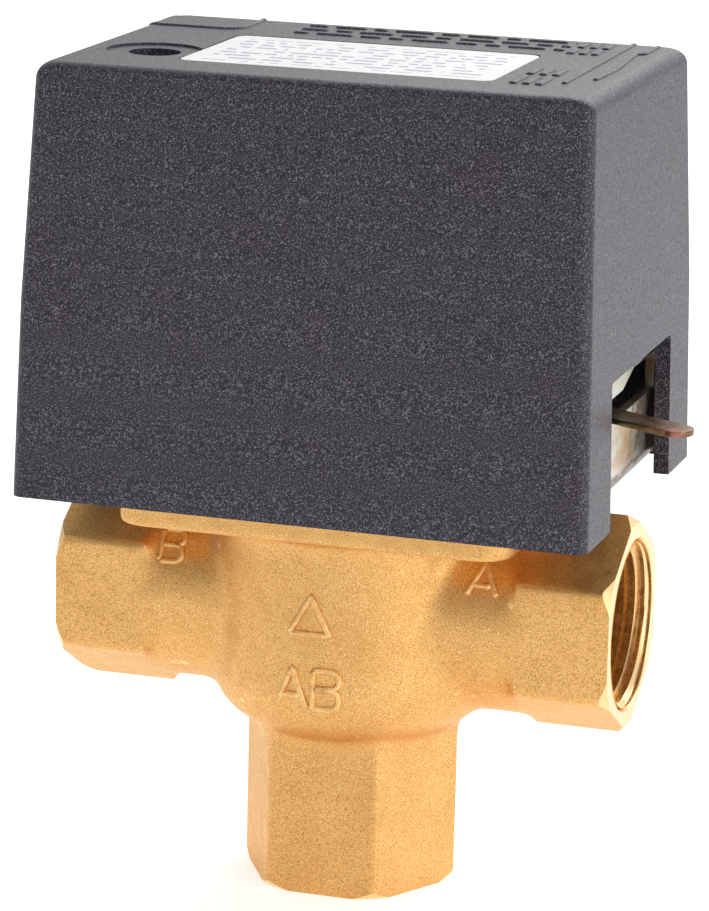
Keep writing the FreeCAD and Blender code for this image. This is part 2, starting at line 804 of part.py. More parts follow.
def plate_pillars():
    """Four hexagonal pillars, each with a tapped hole in its top."""
    pillars = []
    for index, (x, y) in enumerate(pillar_places()):
        post = hexagon(f"pillar_{index}_post", "2 * pillar_radius",
                       "plate_level - deck - sheet", x=x, y=y, z=BASE_TOP)
        bore = cylinder(f"pillar_{index}_bore", "plate_screw_radius", "pillar_bore_depth", x=x, y=y,
                        z="plate_level - pillar_bore_depth")
        pillars.append(cut(f"pillar_{index}", post, bore))
    return group("plate_pillars", pillars)


def gear_plate():
    """Flat steel plate above the gears, with holes for the motor shaft and the screws."""
    owner = body("gear_plate")
    outline = sketch(owner, "gear_plate_outline", x="plate_centre", offset="plate_level")
    rectangle(outline, "plate_length", "plate_width")
    blank = pad(owner, outline, "sheet", "gear_plate_blank")
    round_edges(owner, blank, upright, "flange_round / 2", "gear_plate_corners")
    hole(owner, "shaft_hole", "shaft_hole_radius", MOTOR_SHAFT.x, MOTOR_SHAFT.y, PLATE_TOP, "sheet")
    for index, (x, y) in enumerate(pillar_places()):
        hole(owner, f"pillar_hole_{index}", "plate_screw_radius", x, y, PLATE_TOP, "sheet")
    for index, ear in enumerate(motor_ears()):
        hole(owner, f"ear_hole_{index}", "plate_screw_radius", ear.x, ear.y, PLATE_TOP, "sheet")
    return owner


def gear_plate_screws():
    return group("gear_plate_screws", [
        screw(f"plate_screw_{index}", "plate_screw_radius", "sheet + plate_screw_grip",
              "plate_screw_head_radius", "plate_screw_head_height", x, y, PLATE_TOP)
        for index, (x, y) in enumerate(pillar_places())])


def cover_pillar():
    """Tall post on the gear plate that takes the cover screw."""
    where = {"x": "well_along", "y": "well_across"}
    post = cylinder("cover_pillar_post", "cover_pillar_radius", "cover_pillar_top - plate_level - sheet",
                    z=PLATE_TOP, **where)
    foot = cylinder("cover_pillar_foot", "cover_pillar_foot_radius", "cover_pillar_foot_height",
                    z=PLATE_TOP, **where)
    bore = cylinder("cover_pillar_bore", "cover_screw_radius + cover_screw_fit",
                    "cover_screw_length", z="cover_pillar_top - cover_screw_length", **where)
    return cut("cover_pillar", fuse("cover_pillar_solid", post, foot), bore)


# --- Gear train and return spring -----------------------------------------------------------------

def sector_gear():
    """Toothed sector pressed on the spindle, with the drive pin's arm, the trip lug and the tab."""
    level = mm("sector_level")
    height = mm("sector_thickness")
    step = 360 / mm("sector_teeth")
    first = round((180 - 2 * step) / step)
    count = round((mm("turn") + 4.5 * step) / step)
    teeth = gear_outline(int(mm("sector_teeth")), mm("gear_module"), first, count)
    toothed = prism([point + SPINDLE for point in teeth] + [SPINDLE], level, height)
    hub = Part.makeCylinder(mm("sector_hub_radius"), height, SPINDLE + Vector(0, 0, level))
    pin_arm = arm(SPINDLE, DRIVE_PIN, 4 * mm("drive_pin_radius") + 1, level, height)
    lug_width = mm("trip_lug_width")
    lug_end = polar(mm("trip_lug_reach") - lug_width / 2, mm("trip_lug_angle"), SPINDLE.x, SPINDLE.y)
    lug = arm(SPINDLE, lug_end, lug_width, level, height)
    tab_x = -(mm("spring_radius") - mm("spring_wire") - mm("spring_tab_radius") - 0.02)
    tab = Part.makeCylinder(mm("spring_tab_radius"), 2.5, Vector(tab_x, 0, level - 2))
    solid = toothed.multiFuse([hub, pin_arm, lug, tab])
    bores = [Part.makeCylinder(mm("spindle_radius"), height, SPINDLE + Vector(0, 0, level)),
             Part.makeCylinder(mm("drive_pin_radius"), height, DRIVE_PIN + Vector(0, 0, level))]
    return feature("sector_gear", solid.cut(Part.makeCompound(bores)).removeSplitter())


def lever_pin():
    return cylinder("lever_pin", "drive_pin_radius", "drive_pin_top - sector_level",
                    x=DRIVE_PIN.x, y=DRIVE_PIN.y, z="sector_level")


def open_clip(name, inner, outer, x, y, level):
    """A flat retaining ring with an opening towards -Y."""
    ring = cut(name + "_ring", cylinder(name + "_outside", outer, "clip_thickness", x=x, y=y, z=level),
               cylinder(name + "_inside", inner, "clip_thickness", x=x, y=y, z=level))
    gap = box(name + "_gap", f"1.4 * ({inner})", outer, "clip_thickness", x,
              f"({y}) - ({outer}) / 2", level)
    return cut(name, ring, gap)


def spindle_clip():
    return open_clip("spindle_clip", "clip_groove_radius", "clip_radius", 0, "spindle_offset",
                     "sector_level + sector_thickness + 0.6 - clip_thickness / 2")


def return_spring():
    """Torsion spring round the bonnet's hub: one leg on its post, the other on the sector's tab."""
    radius = mm("spring_radius")
    wire = mm("spring_wire")
    rise = mm("spring_pitch") * mm("spring_turns")
    base = SPINDLE + Vector(0, 0, mm("spring_level"))
    helix = Part.makeHelix(mm("spring_pitch"), rise, radius)
    section = Part.Wire(Part.makeCircle(wire, Vector(radius, 0, 0), Vector(0, 1, 0)))
    coil = Part.Wire(helix).makePipeShell([section], True, True)
    coil.translate(base)
    leg_down = Vector(0, -1, 0)
    legs = [Part.makeCylinder(wire, mm("spring_leg"), base + Vector(radius, 0, 0), leg_down),
            Part.makeCylinder(wire, mm("spring_leg"), base + Vector(-radius, 0, rise), leg_down)]
    return feature("return_spring", coil.multiFuse(legs))


def spring_post():
    return cylinder("spring_post", "spring_post_radius", "3",
                    x="spring_radius - spring_wire - spring_post_radius - 0.02", y="-1", z=BASE_TOP)


def reduction_gear():
    """Wheel and pinion in one piece, turning on a fixed axle."""
    module = mm("gear_module")
    pinion = prism([point + IDLER for point in
                    gear_outline(int(mm("pinion_teeth")), module, phase=math.pi / mm("pinion_teeth"))],
                   mm("sector_level"), mm("wheel_level") - mm("sector_level"))
    wheel = prism([point + IDLER for point in
                   gear_outline(int(mm("wheel_teeth")), module,
                                phase=math.radians(mm("motor_gear_angle")))],
                  mm("wheel_level"), mm("wheel_thickness"))
    foot = mm("deck") + mm("sheet") + 0.4
    tube = Part.makeCylinder(mm("gear_hub_radius"), mm("plate_level") - 0.4 - foot,
                             IDLER + Vector(0, 0, foot))
    bore = Part.makeCylinder(mm("axle_radius") + mm("axle_fit"), mm("plate_level"), IDLER)
    return feature("reduction_gear", pinion.multiFuse([wheel, tube]).cut(bore))


def reduction_axle():
    return cylinder("reduction_axle", "axle_radius", "plate_level - deck - sheet", x=IDLER.x,
                    y=IDLER.y, z=BASE_TOP)


def motor_pinion():
    """Pinion on the motor's output shaft."""
    facing = math.radians(mm("motor_gear_angle") + 180)
    outline = gear_outline(int(mm("motor_teeth")), mm("gear_module"),
                           phase=facing + math.pi / mm("motor_teeth"))
    teeth = prism([point + MOTOR_SHAFT for point in outline], mm("wheel_level"),
                  mm("wheel_thickness"))
    shaft_top = mm("plate_level") + mm("sheet") + mm("motor_flange") + mm("shaft_engagement")
    shaft = Part.makeCylinder(mm("axle_radius"), shaft_top - mm("wheel_level"),
                              MOTOR_SHAFT + Vector(0, 0, mm("wheel_level")))
    return feature("motor_pinion", teeth.fuse(shaft))


# --- Motor ----------------------------------------------------------------------------------------

def motor_ears():
    """The two screw places of the motor's end plate."""
    return [polar(mm("motor_ear_orbit"), mm("motor_ear_angle") + turn, MOTOR.x, MOTOR.y)
            for turn in (0, 180)]


def motor_end_plate():
    """Round steel flange with two ears."""
    level = mm("plate_level") + mm("sheet")
    height = mm("motor_flange")
    disc = Part.makeCylinder(mm("motor_radius"), height, MOTOR + Vector(0, 0, level))
    arms = [arm(MOTOR, ear, 2 * mm("motor_ear_radius"), level, height) for ear in motor_ears()]
    holes = [Part.makeCylinder(mm("plate_screw_radius"), height, ear + Vector(0, 0, level))
             for ear in motor_ears()]
    holes.append(Part.makeCylinder(mm("shaft_hole_radius"), height,
                                   MOTOR_SHAFT + Vector(0, 0, level)))
    return feature("motor_end_plate", disc.multiFuse(arms).cut(Part.makeCompound(holes)))


def motor_can():
    """Drawn steel can of the synchronous motor, with the bore of its output shaft."""
    level = f"{PLATE_TOP} + motor_flange"
    can = cylinder("motor_can_blank", "motor_can_radius", "motor_height", x="motor_along",
                   y="motor_across", z=level)
    bore = cylinder("motor_can_bore", "axle_radius + axle_fit", "shaft_engagement + 1", x=MOTOR_SHAFT.x,
                    y=MOTOR_SHAFT.y, z=level)
    rounded = document.addObject("Part::Fillet", "motor_can_rounded")
    rounded.Base = can
    document.recompute()
    top = can.Shape.BoundBox.ZMax
    rounding = mm("motor_can_round")
    rounded.Edges = [(index, rounding, rounding)
                     for index, edge in enumerate(can.Shape.Edges, start=1)
                     if edge.BoundBox.ZMin > top - 1e-6]
    return cut("motor_can", rounded, bore)


def motor_screws():
    return group("motor_screws", [
        screw(f"motor_screw_{index}", "plate_screw_radius", "sheet + motor_flange + 1.5",
              "plate_screw_head_radius", "plate_screw_head_height", ear.x, ear.y,
              f"{PLATE_TOP} + motor_flange")
        for index, ear in enumerate(motor_ears())])


# --- Manual lever ---------------------------------------------------------------------------------

def manual_lever():
    """Flat strip with a round tip outside the cover and a fork round the drive pin inside."""
    level = mm("lever_level")
    height = mm("lever_thickness")
    tip = polar(mm("lever_reach"), mm("lever_angle"), LEVER_PIVOT.x, LEVER_PIVOT.y)
    outer = arm(LEVER_PIVOT, tip, mm("lever_width"), level, height)
    boss = Part.makeCylinder(mm("lever_boss_radius"), height, LEVER_PIVOT + Vector(0, 0, level))
    pin_side = DRIVE_PIN - LEVER_PIVOT
    fork_angle = math.degrees(math.atan2(pin_side.y, pin_side.x)) + mm("fork_lead")
    along = polar(1, fork_angle)
    side = polar(1, fork_angle + 90)

    def bar(start, end, width):
        edge = side * (width / 2)
        first = LEVER_PIVOT + along * start
        last = LEVER_PIVOT + along * end
        return prism([first + edge, first - edge, last - edge, last + edge], level, height)

    fork = bar(0, mm("fork_end"), mm("fork_width"))
    slot = bar(mm("fork_start"), mm("fork_end") + 1, mm("fork_slot"))
    pivot_hole = Part.makeCylinder(mm("lever_hole_radius"), height, LEVER_PIVOT + Vector(0, 0, level))
    solid = outer.multiFuse([boss, fork]).cut(Part.makeCompound([slot, pivot_hole]))
    return feature("manual_lever", solid.removeSplitter())


def lever_pivot():
    """Shouldered post from the base plate to the gear plate, with a groove for its clip."""
    where = {"x": "lever_pivot_along", "y": "lever_pivot_across"}
    post = cylinder("lever_post", "lever_post_radius", "lever_level - 0.1 - deck - sheet", z=BASE_TOP,
                    **where)
    journal = cylinder("lever_journal", "lever_pivot_radius", "plate_level - lever_level + 0.1",
                       z="lever_level - 0.1", **where)
    groove_level = "lever_level + lever_thickness + 0.1"
    ring = cut("lever_groove",
               cylinder("lever_groove_outside", "lever_pivot_radius + 1", "clip_thickness",
                        z=groove_level, **where),
               cylinder("lever_groove_inside", "lever_pivot_radius - 0.4", "clip_thickness",
                        z=groove_level, **where))
    return cut("lever_pivot", fuse("lever_pivot_solid", post, journal), ring)


def lever_clip():
    return open_clip("lever_clip", "lever_pivot_radius - 0.4", "lever_boss_radius - 0.3",
                     "lever_pivot_along", "lever_pivot_across", "lever_level + lever_thickness + 0.1")


# --- End switch and terminal block ----------------------------------------------------------------

LEAF_FACE = "switch_front + leaf_gap + leaf_curl_radius - leaf_thickness"
HINGE_X = "switch_centre + switch_length / 2 - leaf_curl_radius + 0.2"
HINGE_Y = "switch_front + leaf_gap - 0.2"
LEAF_LEVEL = "sector_level"


def switch_screw_places():
    return [(f"switch_centre + {sign} * switch_hole_along", "switch_front - switch_depth / 2")
            for sign in (-1, 1)]


def end_switch():
    """Snap-action switch standing on the base plate, with the ears and pin of its leaf."""
    case = box("switch_case", "switch_length", "switch_depth", "switch_height", "switch_centre",
               "switch_front - switch_depth / 2", BASE_TOP)
    ears = [box(f"switch_ear_{index}", "2", "leaf_gap + 0.8", "1", HINGE_X,
                "switch_front + (leaf_gap + 0.8) / 2", level)
            for index, level in enumerate((f"{LEAF_LEVEL} - 1.2", f"{LEAF_LEVEL} + leaf_height + 0.2"))]
    pin = cylinder("switch_pin", "leaf_pin_radius", "leaf_height + 2.4", x=HINGE_X, y=HINGE_Y,
                   z=f"{LEAF_LEVEL} - 1.2")
    bore = cylinder("plunger_bore", "plunger_radius + axle_fit", "2", x=f"{HINGE_X} - plunger_distance",
                    y="switch_front", z=f"{LEAF_LEVEL} + leaf_height / 2", axis="-Y")
    holes = [cylinder(f"switch_hole_{index}", "plate_screw_radius", "switch_height", x=x, y=y,
                      z=BASE_TOP)
             for index, (x, y) in enumerate(switch_screw_places())]
    return cut("end_switch", fuse("switch_solid", case, *ears, pin), bore, *holes)


def switch_leaf():
    """Spring-steel leaf curled round its hinge pin."""
    curl = cylinder("leaf_curl", "leaf_curl_radius", "leaf_height", x=HINGE_X, y=HINGE_Y,
                    z=LEAF_LEVEL)
    strip = box("leaf_strip", "leaf_length", "leaf_thickness", "leaf_height",
                f"{HINGE_X} - leaf_length / 2", f"{HINGE_Y} + leaf_curl_radius - leaf_thickness / 2",
                LEAF_LEVEL)
    bore = cylinder("leaf_bore", "leaf_pin_radius + axle_fit", "leaf_height", x=HINGE_X, y=HINGE_Y,
                    z=LEAF_LEVEL)
    return cut("switch_leaf", fuse("leaf_solid", curl, strip), bore)


def switch_plunger():
    return cylinder("switch_plunger", "plunger_radius", "plunger_length",
                    x=f"{HINGE_X} - plunger_distance",
                    y=f"{HINGE_Y} + leaf_curl_radius - leaf_thickness - 0.05",
                    z=f"{LEAF_LEVEL} + leaf_height / 2", axis="-Y")


def switch_screws():
    return group("switch_screws", [
        screw(f"switch_screw_{index}", "plate_screw_radius", "switch_height",
              "switch_screw_head_radius", "switch_screw_head_height", x, y,
              f"{BASE_TOP} + switch_height")
        for index, (x, y) in enumerate(switch_screw_places())])


def terminal_places():
    return [f"block_across + {index - 1.5} * terminal_pitch" for index in range(4)]


def terminal_block():
    """Four-way terminal block: wires enter from +X, screws from above."""
    case = box("block_case", "block_depth", "block_length", "block_height", "block_along",
               "block_across", PLATE_TOP)
    wires = [cylinder(f"wire_hole_{index}", "wire_hole_radius", "block_depth - 3",
                      x="block_along + block_depth / 2", y=y, z=f"{PLATE_TOP} + wire_hole_level",
                      axis="-X")
             for index, y in enumerate(terminal_places())]
    wells = [cylinder(f"screw_well_{index}", "terminal_screw_radius + 0.2",
                      "block_height - terminal_well_floor", x="block_along", y=y,
                      z=f"{PLATE_TOP} + terminal_well_floor")
             for index, y in enumerate(terminal_places())]
    return cut("terminal_block", case, *wires, *wells)


def terminal_screws():
    """Slotted clamping screws, standing in the wells of the block."""
    screws = []
    for index, y in enumerate(terminal_places()):
        name = f"terminal_screw_{index}"
        head = cylinder(name + "_head", "terminal_screw_radius", "terminal_screw_height",
                        x="block_along", y=y, z=f"{PLATE_TOP} + terminal_well_floor")
        slot = box(name + "_slot", "2 * terminal_screw_radius", "screw_slot",
                   "terminal_screw_height / 2", "block_along", y,
                   f"{PLATE_TOP} + terminal_well_floor + terminal_screw_height / 2")
        screws.append(cut(name, head, slot))
    return group("terminal_screws", screws)


# --- Cover ----------------------------------------------------------------------------------------

def cover_stages(top):
    """Level and insets of each section, from the bottom to the start of the top's rounding."""
    return [("bottom", "cover_bottom", "0", "0"),
            ("knee", "cover_knee", "cover_knee_inset", "cover_knee_inset"),
            ("top", top, "cover_top_inset_along", "cover_top_inset_across")]


def top_rounding():
    """Sections of the rounded top edge, along a quarter circle."""
    stages = []
    for step in range(1, ROUND_STEPS + 1):
        angle = math.radians(90.0 * step / ROUND_STEPS)
        level = f"cover_top - cover_top_round * {1 - math.sin(angle):.4f}"
        inset = f"cover_top_round * {1 - math.cos(angle):.4f}"
        stages.append((f"round_{step}", level, f"cover_top_inset_along + {inset}",
                       f"cover_top_inset_across + {inset}"))
    return stages


def cover_sections(owner, name, inset, corner, stages):
    """Rounded rectangles, one at each stage, all with the same corner."""
    profiles = []
    for stage, level, along, across in stages:
        profile = sketch(owner, f"{name}_{stage}", x="cover_centre", offset=level)
        rounded_rectangle(profile, f"cover_length - 2 * ({inset} + {along})",
                          f"cover_width - 2 * ({inset} + {across})", corner,
                          (mm("cover_length"), mm("cover_width"), mm(corner)))
        profiles.append(profile)
    document.recompute()
    return profiles


def loft(owner, kind, name, profiles):
    """Add or remove a ruled loft through the profiles."""
    item = owner.newObject(kind, name)
    item.Profile = profiles[0]
    item.Sections = profiles[1:]
    item.Ruled = True
    document.recompute()
    return item


def cover_shell():
    """Moulded cover: drafted walls, a lever slot open at the bottom and a well for its screw."""
    owner = body("cover_shell")
    loft(owner, "PartDesign::AdditiveLoft", "cover_outside",
         cover_sections(owner, "outside", "0", "cover_corner",
                        cover_stages("cover_top - cover_top_round") + top_rounding()))
    loft(owner, "PartDesign::SubtractiveLoft", "cover_inside",
         cover_sections(owner, "inside", "cover_wall", "cover_inner_corner",
                        cover_stages("cover_top - cover_wall")))
    slot = sketch(owner, "lever_slot_sketch", "YZ_Plane", y="(cover_bottom + slot_top) / 2 - 1",
                  offset="base_centre + base_length / 2")
    rectangle(slot, "slot_width", "slot_top - cover_bottom + 2")
    pocket(owner, slot, "8", "lever_slot", forward=True)
    sleeve = sketch(owner, "sleeve_sketch", x="well_along", y="well_across",
                    offset="well_floor - well_floor_thickness")
    circle(sleeve, "well_radius + well_wall")
    pad(owner, sleeve, "cover_top - cover_wall / 2 - well_floor + well_floor_thickness", "sleeve")
    hole(owner, "screw_well", "well_radius", "well_along", "well_across", "cover_top",
         "cover_top - well_floor")
    hole(owner, "screw_way", "cover_screw_radius + 0.3", "well_along", "well_across",
         "well_floor", "well_floor_thickness")
    hole(owner, "spot_face", "spot_radius", "well_along", "well_across", "cover_top", "spot_depth")
    recess = sketch(owner, "label_recess_sketch", y="label_centre", offset="cover_top")
    rounded_rectangle(recess, "label_length + 0.4", "label_width + 0.4", "label_corner", LABEL_START)
    pocket(owner, recess, "label_recess", "label_recess_pocket")
    return owner


def cover_screw():
    return screw("cover_screw", "cover_screw_radius", "cover_screw_length", "well_radius - 0.5",
                 "screw_head_height", "well_along", "well_across", "well_floor")


def label():
    """Plain rating label in its recess on the cover."""
    owner = body("label")
    outline = sketch(owner, "label_outline", y="label_centre", offset="cover_top - label_recess")
    rounded_rectangle(outline, "label_length", "label_width", "label_corner", LABEL_START)
    pad(owner, outline, "label_thickness", "label_sheet")
    return owner


# --- Assembly and output --------------------------------------------------------------------------

def build():
    for item in (valve_body(), bonnet(), bonnet_o_ring(), spindle(),
                 spindle_o_ring("spindle_o_ring_lower", "lower_ring_level"),
                 spindle_o_ring("spindle_o_ring_upper", "upper_ring_level"),
                 ball_arm(), ball_pin(), valve_ball(), base_plate(), base_screws(), plate_pillars(),
                 gear_plate(), gear_plate_screws(), cover_pillar(), sector_gear(), lever_pin(),
                 spindle_clip(), return_spring(), spring_post(), reduction_gear(), reduction_axle(),
                 motor_pinion(), motor_end_plate(), motor_can(), motor_screws(), manual_lever(),
                 lever_pivot(), lever_clip(), end_switch(), switch_leaf(), switch_plunger(),
                 switch_screws(), terminal_block(), terminal_screws(), cover_shell(), cover_screw(),
                 label()):
        node(item)
    document.recompute()


def check():
    """Stop if any object of the document failed or any sub-part is not a sound solid."""
    failed = [item.Name for item in document.Objects
              if "Invalid" in item.State or "Error" in item.State]
    for item in nodes:
        if item.Shape.isNull() or not item.Shape.isValid() or not item.Shape.Solids:
            failed.append(item.Name)
    if failed:
        raise RuntimeError("failed: " + ", ".join(failed))


def write():
    os.makedirs("parts", exist_ok=True)
    for item in nodes:
        item.Shape.exportStep(os.path.join("parts", item.Label + ".step"))


build()
check()
write()
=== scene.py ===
import json
import math

import bmesh
import bpy
import numpy as np
from mathutils import Matrix, Vector
from mathutils.bvhtree import BVHTree


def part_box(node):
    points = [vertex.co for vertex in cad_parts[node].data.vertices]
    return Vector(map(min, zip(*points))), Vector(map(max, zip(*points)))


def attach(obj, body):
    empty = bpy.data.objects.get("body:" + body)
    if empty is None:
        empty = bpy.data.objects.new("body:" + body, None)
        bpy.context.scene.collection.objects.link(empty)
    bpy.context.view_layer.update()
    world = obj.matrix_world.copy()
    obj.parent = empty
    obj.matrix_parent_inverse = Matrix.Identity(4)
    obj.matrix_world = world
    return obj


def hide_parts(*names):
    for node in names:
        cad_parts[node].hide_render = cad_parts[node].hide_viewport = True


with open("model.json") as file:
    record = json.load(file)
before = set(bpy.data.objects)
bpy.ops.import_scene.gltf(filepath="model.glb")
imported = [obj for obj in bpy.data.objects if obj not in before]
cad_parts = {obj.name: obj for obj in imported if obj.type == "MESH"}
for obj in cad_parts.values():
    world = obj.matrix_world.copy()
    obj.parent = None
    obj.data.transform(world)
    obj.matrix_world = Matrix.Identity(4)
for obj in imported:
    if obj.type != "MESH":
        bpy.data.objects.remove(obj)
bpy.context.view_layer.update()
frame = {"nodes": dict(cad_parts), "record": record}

MM = 0.001
nodes = frame["nodes"]
record = frame["record"]
body_of = {node: body for body, members in record["behaviour"]["bodies"].items() for node in members}
slot_of = {part["node"]: part["material_slot"] for part in record["subparts"]}


# --- Meshes ---------------------------------------------------------------------------------------

def build(name, vertices, faces):
    """A new object from vertices in millimetres."""
    mesh = bpy.data.meshes.new(name)
    mesh.from_pydata([[value * MM for value in vertex] for vertex in vertices], [], faces)
    mesh.validate()
    item = bpy.data.objects.new(name, mesh)
    bpy.context.scene.collection.objects.link(item)
    return item


def copy_of(name, node):
    """A free copy of a CAD node's mesh, with its vertices welded."""
    mesh = nodes[node].data.copy()
    mesh.name = name
    mesh.materials.clear()
    item = bpy.data.objects.new(name, mesh)
    bpy.context.scene.collection.objects.link(item)
    edit = bmesh.new()
    edit.from_mesh(mesh)
    bmesh.ops.remove_doubles(edit, verts=edit.verts, dist=0.002 * MM)
    bmesh.ops.dissolve_limit(edit, angle_limit=math.radians(0.3), verts=edit.verts, edges=edit.edges)
    edit.to_mesh(mesh)
    edit.free()
    if mesh.has_custom_normals:
        mesh.attributes.remove(mesh.attributes["custom_normal"])
    return item


def apply(item):
    """Replace an object's mesh by what its modifiers make of it."""
    graph = bpy.context.evaluated_depsgraph_get()
    graph.update()
    mesh = bpy.data.meshes.new_from_object(item.evaluated_get(graph), depsgraph=graph)
    old = item.data
    item.modifiers.clear()
    item.data = mesh
    bpy.data.meshes.remove(old)
    return item


def modify(item, kind, **settings):
    """Add a modifier and apply it at once."""
    modifier = item.modifiers.new(kind.lower(), kind)
    for name, value in settings.items():
        setattr(modifier, name, value)
    return apply(item)


def discard(item):
    mesh = item.data
    bpy.data.objects.remove(item)
    bpy.data.meshes.remove(mesh)


def combine(item, tool, operation):
    """Boolean of two closed meshes; the tool is used up."""
    modify(item, "BOOLEAN", object=tool, operation=operation, solver="MANIFOLD")
    discard(tool)
    return item


def shade(item, angle=30):
    """Smooth shading with sharp edges beyond an angle, and flat faces kept flat."""
    mesh = item.data
    mesh.shade_smooth()
    mesh.set_sharp_from_angle(angle=math.radians(angle))
    return modify(item, "WEIGHTED_NORMAL", keep_sharp=True, weight=60)


def bevel(item, width, segments=2, angle=35):
    return modify(item, "BEVEL", width=width * MM, segments=segments, limit_method="ANGLE",
                  angle_limit=math.radians(angle), use_clamp_overlap=True, miter_outer="MITER_ARC",
                  harden_normals=False)


ALONG = {"X": Matrix(((0, 0, 1), (1, 0, 0), (0, 1, 0))), "Z": Matrix.Identity(3)}


def turned(name, profile, axis="Z", centre=(0.0, 0.0, 0.0), steps=96):
    """A closed solid of revolution: profile is a row of (distance along the axis, radius)."""
    vertices = []
    for along, radius in profile:
        for step in range(steps):
            angle = 2 * math.pi * step / steps
            point = Vector((radius * math.cos(angle), radius * math.sin(angle), along))
            vertices.append(ALONG[axis] @ point + Vector(centre))
    faces = []
    for row in range(len(profile) - 1):
        for step in range(steps):
            following = (step + 1) % steps
            faces.append((row * steps + step, row * steps + following,
                          (row + 1) * steps + following, (row + 1) * steps + step))
    faces.append(tuple(reversed(range(steps))))
    last = (len(profile) - 1) * steps
    faces.append(tuple(range(last, last + steps)))
    item = build(name, vertices, faces)
    outward(item)
    return item


def outward(item):
    """Make the faces of a closed mesh look outwards."""
    edit = bmesh.new()
    edit.from_mesh(item.data)
    bmesh.ops.recalc_face_normals(edit, faces=edit.faces)
    edit.to_mesh(item.data)
    edit.free()


def stack(name, rings):
    """A closed solid through rings of points that all have the same count."""
    count = len(rings[0])
    vertices = [point for ring in rings for point in ring]
    faces = []
    for row in range(len(rings) - 1):
        for step in range(count):
            following = (step + 1) % count
            faces.append((row * count + step, row * count + following,
                          (row + 1) * count + following, (row + 1) * count + step))
    faces.append(tuple(reversed(range(count))))
    faces.append(tuple(range((len(rings) - 1) * count, len(rings) * count)))
    item = build(name, vertices, faces)
    outward(item)
    return item


def finish(item, body, material, slot, *replaced):
    """Give a piece its material and its body, and hide the CAD nodes that it stands for."""
    item.data.materials.clear()
    for one in material if isinstance(material, (list, tuple)) else [material]:
        item.data.materials.append(one)
    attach(item, body)
    if replaced:
        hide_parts(*replaced)
    return item


# --- Materials ------------------------------------------------------------------------------------

class Finish:
    """Builds one material's nodes, with lengths in millimetres."""

    def __init__(self, name, metallic=0.0, roughness=0.5, **sockets):
        self.material = bpy.data.materials.new(name)
        self.material.use_nodes = True
        self.tree = self.material.node_tree
        self.shader = self.tree.nodes["Principled BSDF"]
        self.shader.inputs["Metallic"].default_value = metallic
        self.shader.inputs["Roughness"].default_value = roughness
        for socket, value in sockets.items():
            self.shader.inputs[socket.replace("_", " ")].default_value = value
        coordinates = self.node("ShaderNodeTexCoord")
        self.place = self.stretched(coordinates.outputs["Object"], (1.0, 1.0, 1.0))
        self.normal = None

    def node(self, kind, **settings):
        item = self.tree.nodes.new(kind)
        for name, value in settings.items():
            setattr(item, name, value)
        return item

    def link(self, output, socket):
        self.tree.links.new(output, socket)

    def stretched(self, vector, scale):
        mapping = self.node("ShaderNodeMapping")
        self.link(vector, mapping.inputs["Vector"])
        mapping.inputs["Scale"].default_value = [value / MM for value in scale]
        return mapping.outputs["Vector"]

    def scaled(self, scale):
        """The place in millimetres, stretched along the axes."""
        mapping = self.node("ShaderNodeMapping")
        self.link(self.place, mapping.inputs["Vector"])
        mapping.inputs["Scale"].default_value = scale
        return mapping.outputs["Vector"]

    def noise(self, size, detail=3.0, roughness=0.55, vector=None):
        """Noise from 0 to 1 whose grain is about size millimetres."""
        item = self.node("ShaderNodeTexNoise")
        self.link(vector or self.place, item.inputs["Vector"])
        item.inputs["Scale"].default_value = 1.0 / size
        item.inputs["Detail"].default_value = detail
        item.inputs["Roughness"].default_value = roughness
        return item.outputs["Fac"]

    def maths(self, operation, first, second=0.0, third=0.0):
        item = self.node("ShaderNodeMath", operation=operation)
        for index, value in enumerate((first, second, third)):
            if isinstance(value, (int, float)):
                item.inputs[index].default_value = value
            else:
                self.link(value, item.inputs[index])
        return item.outputs[0]

    def span(self, value, low, high, start=0.0, end=1.0):
        """Map low to high onto start to end, held at the ends."""
        item = self.node("ShaderNodeMapRange", clamp=True)
        self.link(value, item.inputs["Value"])
        for socket, number in (("From Min", low), ("From Max", high), ("To Min", start),
                               ("To Max", end)):
            item.inputs[socket].default_value = number
        return item.outputs["Result"]

    def mix(self, factor, first, second):
        """Blend two colours, each a tuple or an output."""
        item = self.node("ShaderNodeMix", data_type="RGBA")
        self.link(factor, item.inputs["Factor"])
        for socket, value in ((item.inputs[6], first), (item.inputs[7], second)):
            if isinstance(value, tuple):
                socket.default_value = (*value, 1.0)
            else:
                self.link(value, socket)
        return item.outputs[2]

    def colour(self, output):
        self.link(output, self.shader.inputs["Base Color"])

    def rough(self, value, low, high):
        self.link(self.span(value, 0.3, 0.7, low, high), self.shader.inputs["Roughness"])

    def bump(self, height, depth, strength=1.0):
        """Add relief of depth millimetres on top of the relief so far."""
        item = self.node("ShaderNodeBump")
        item.inputs["Strength"].default_value = strength
        item.inputs["Distance"].default_value = depth * MM
        self.link(height, item.inputs["Height"])
        if self.normal:
            self.link(self.normal, item.inputs["Normal"])
        self.normal = item.outputs["Normal"]
        self.link(self.normal, self.shader.inputs["Normal"])

    def part(self, axis):
        """One coordinate in millimetres."""
        item = self.node("ShaderNodeSeparateXYZ")
        self.link(self.place, item.inputs[0])
        return item.outputs[axis]

    def worn(self):
        """1 on convex edges and 0 elsewhere, broken up by noise."""
        geometry = self.node("ShaderNodeNewGeometry")
        edge = self.span(geometry.outputs["Pointiness"], 0.52, 0.60)
        return self.maths("MULTIPLY", edge, self.span(self.noise(1.2), 0.35, 0.6))


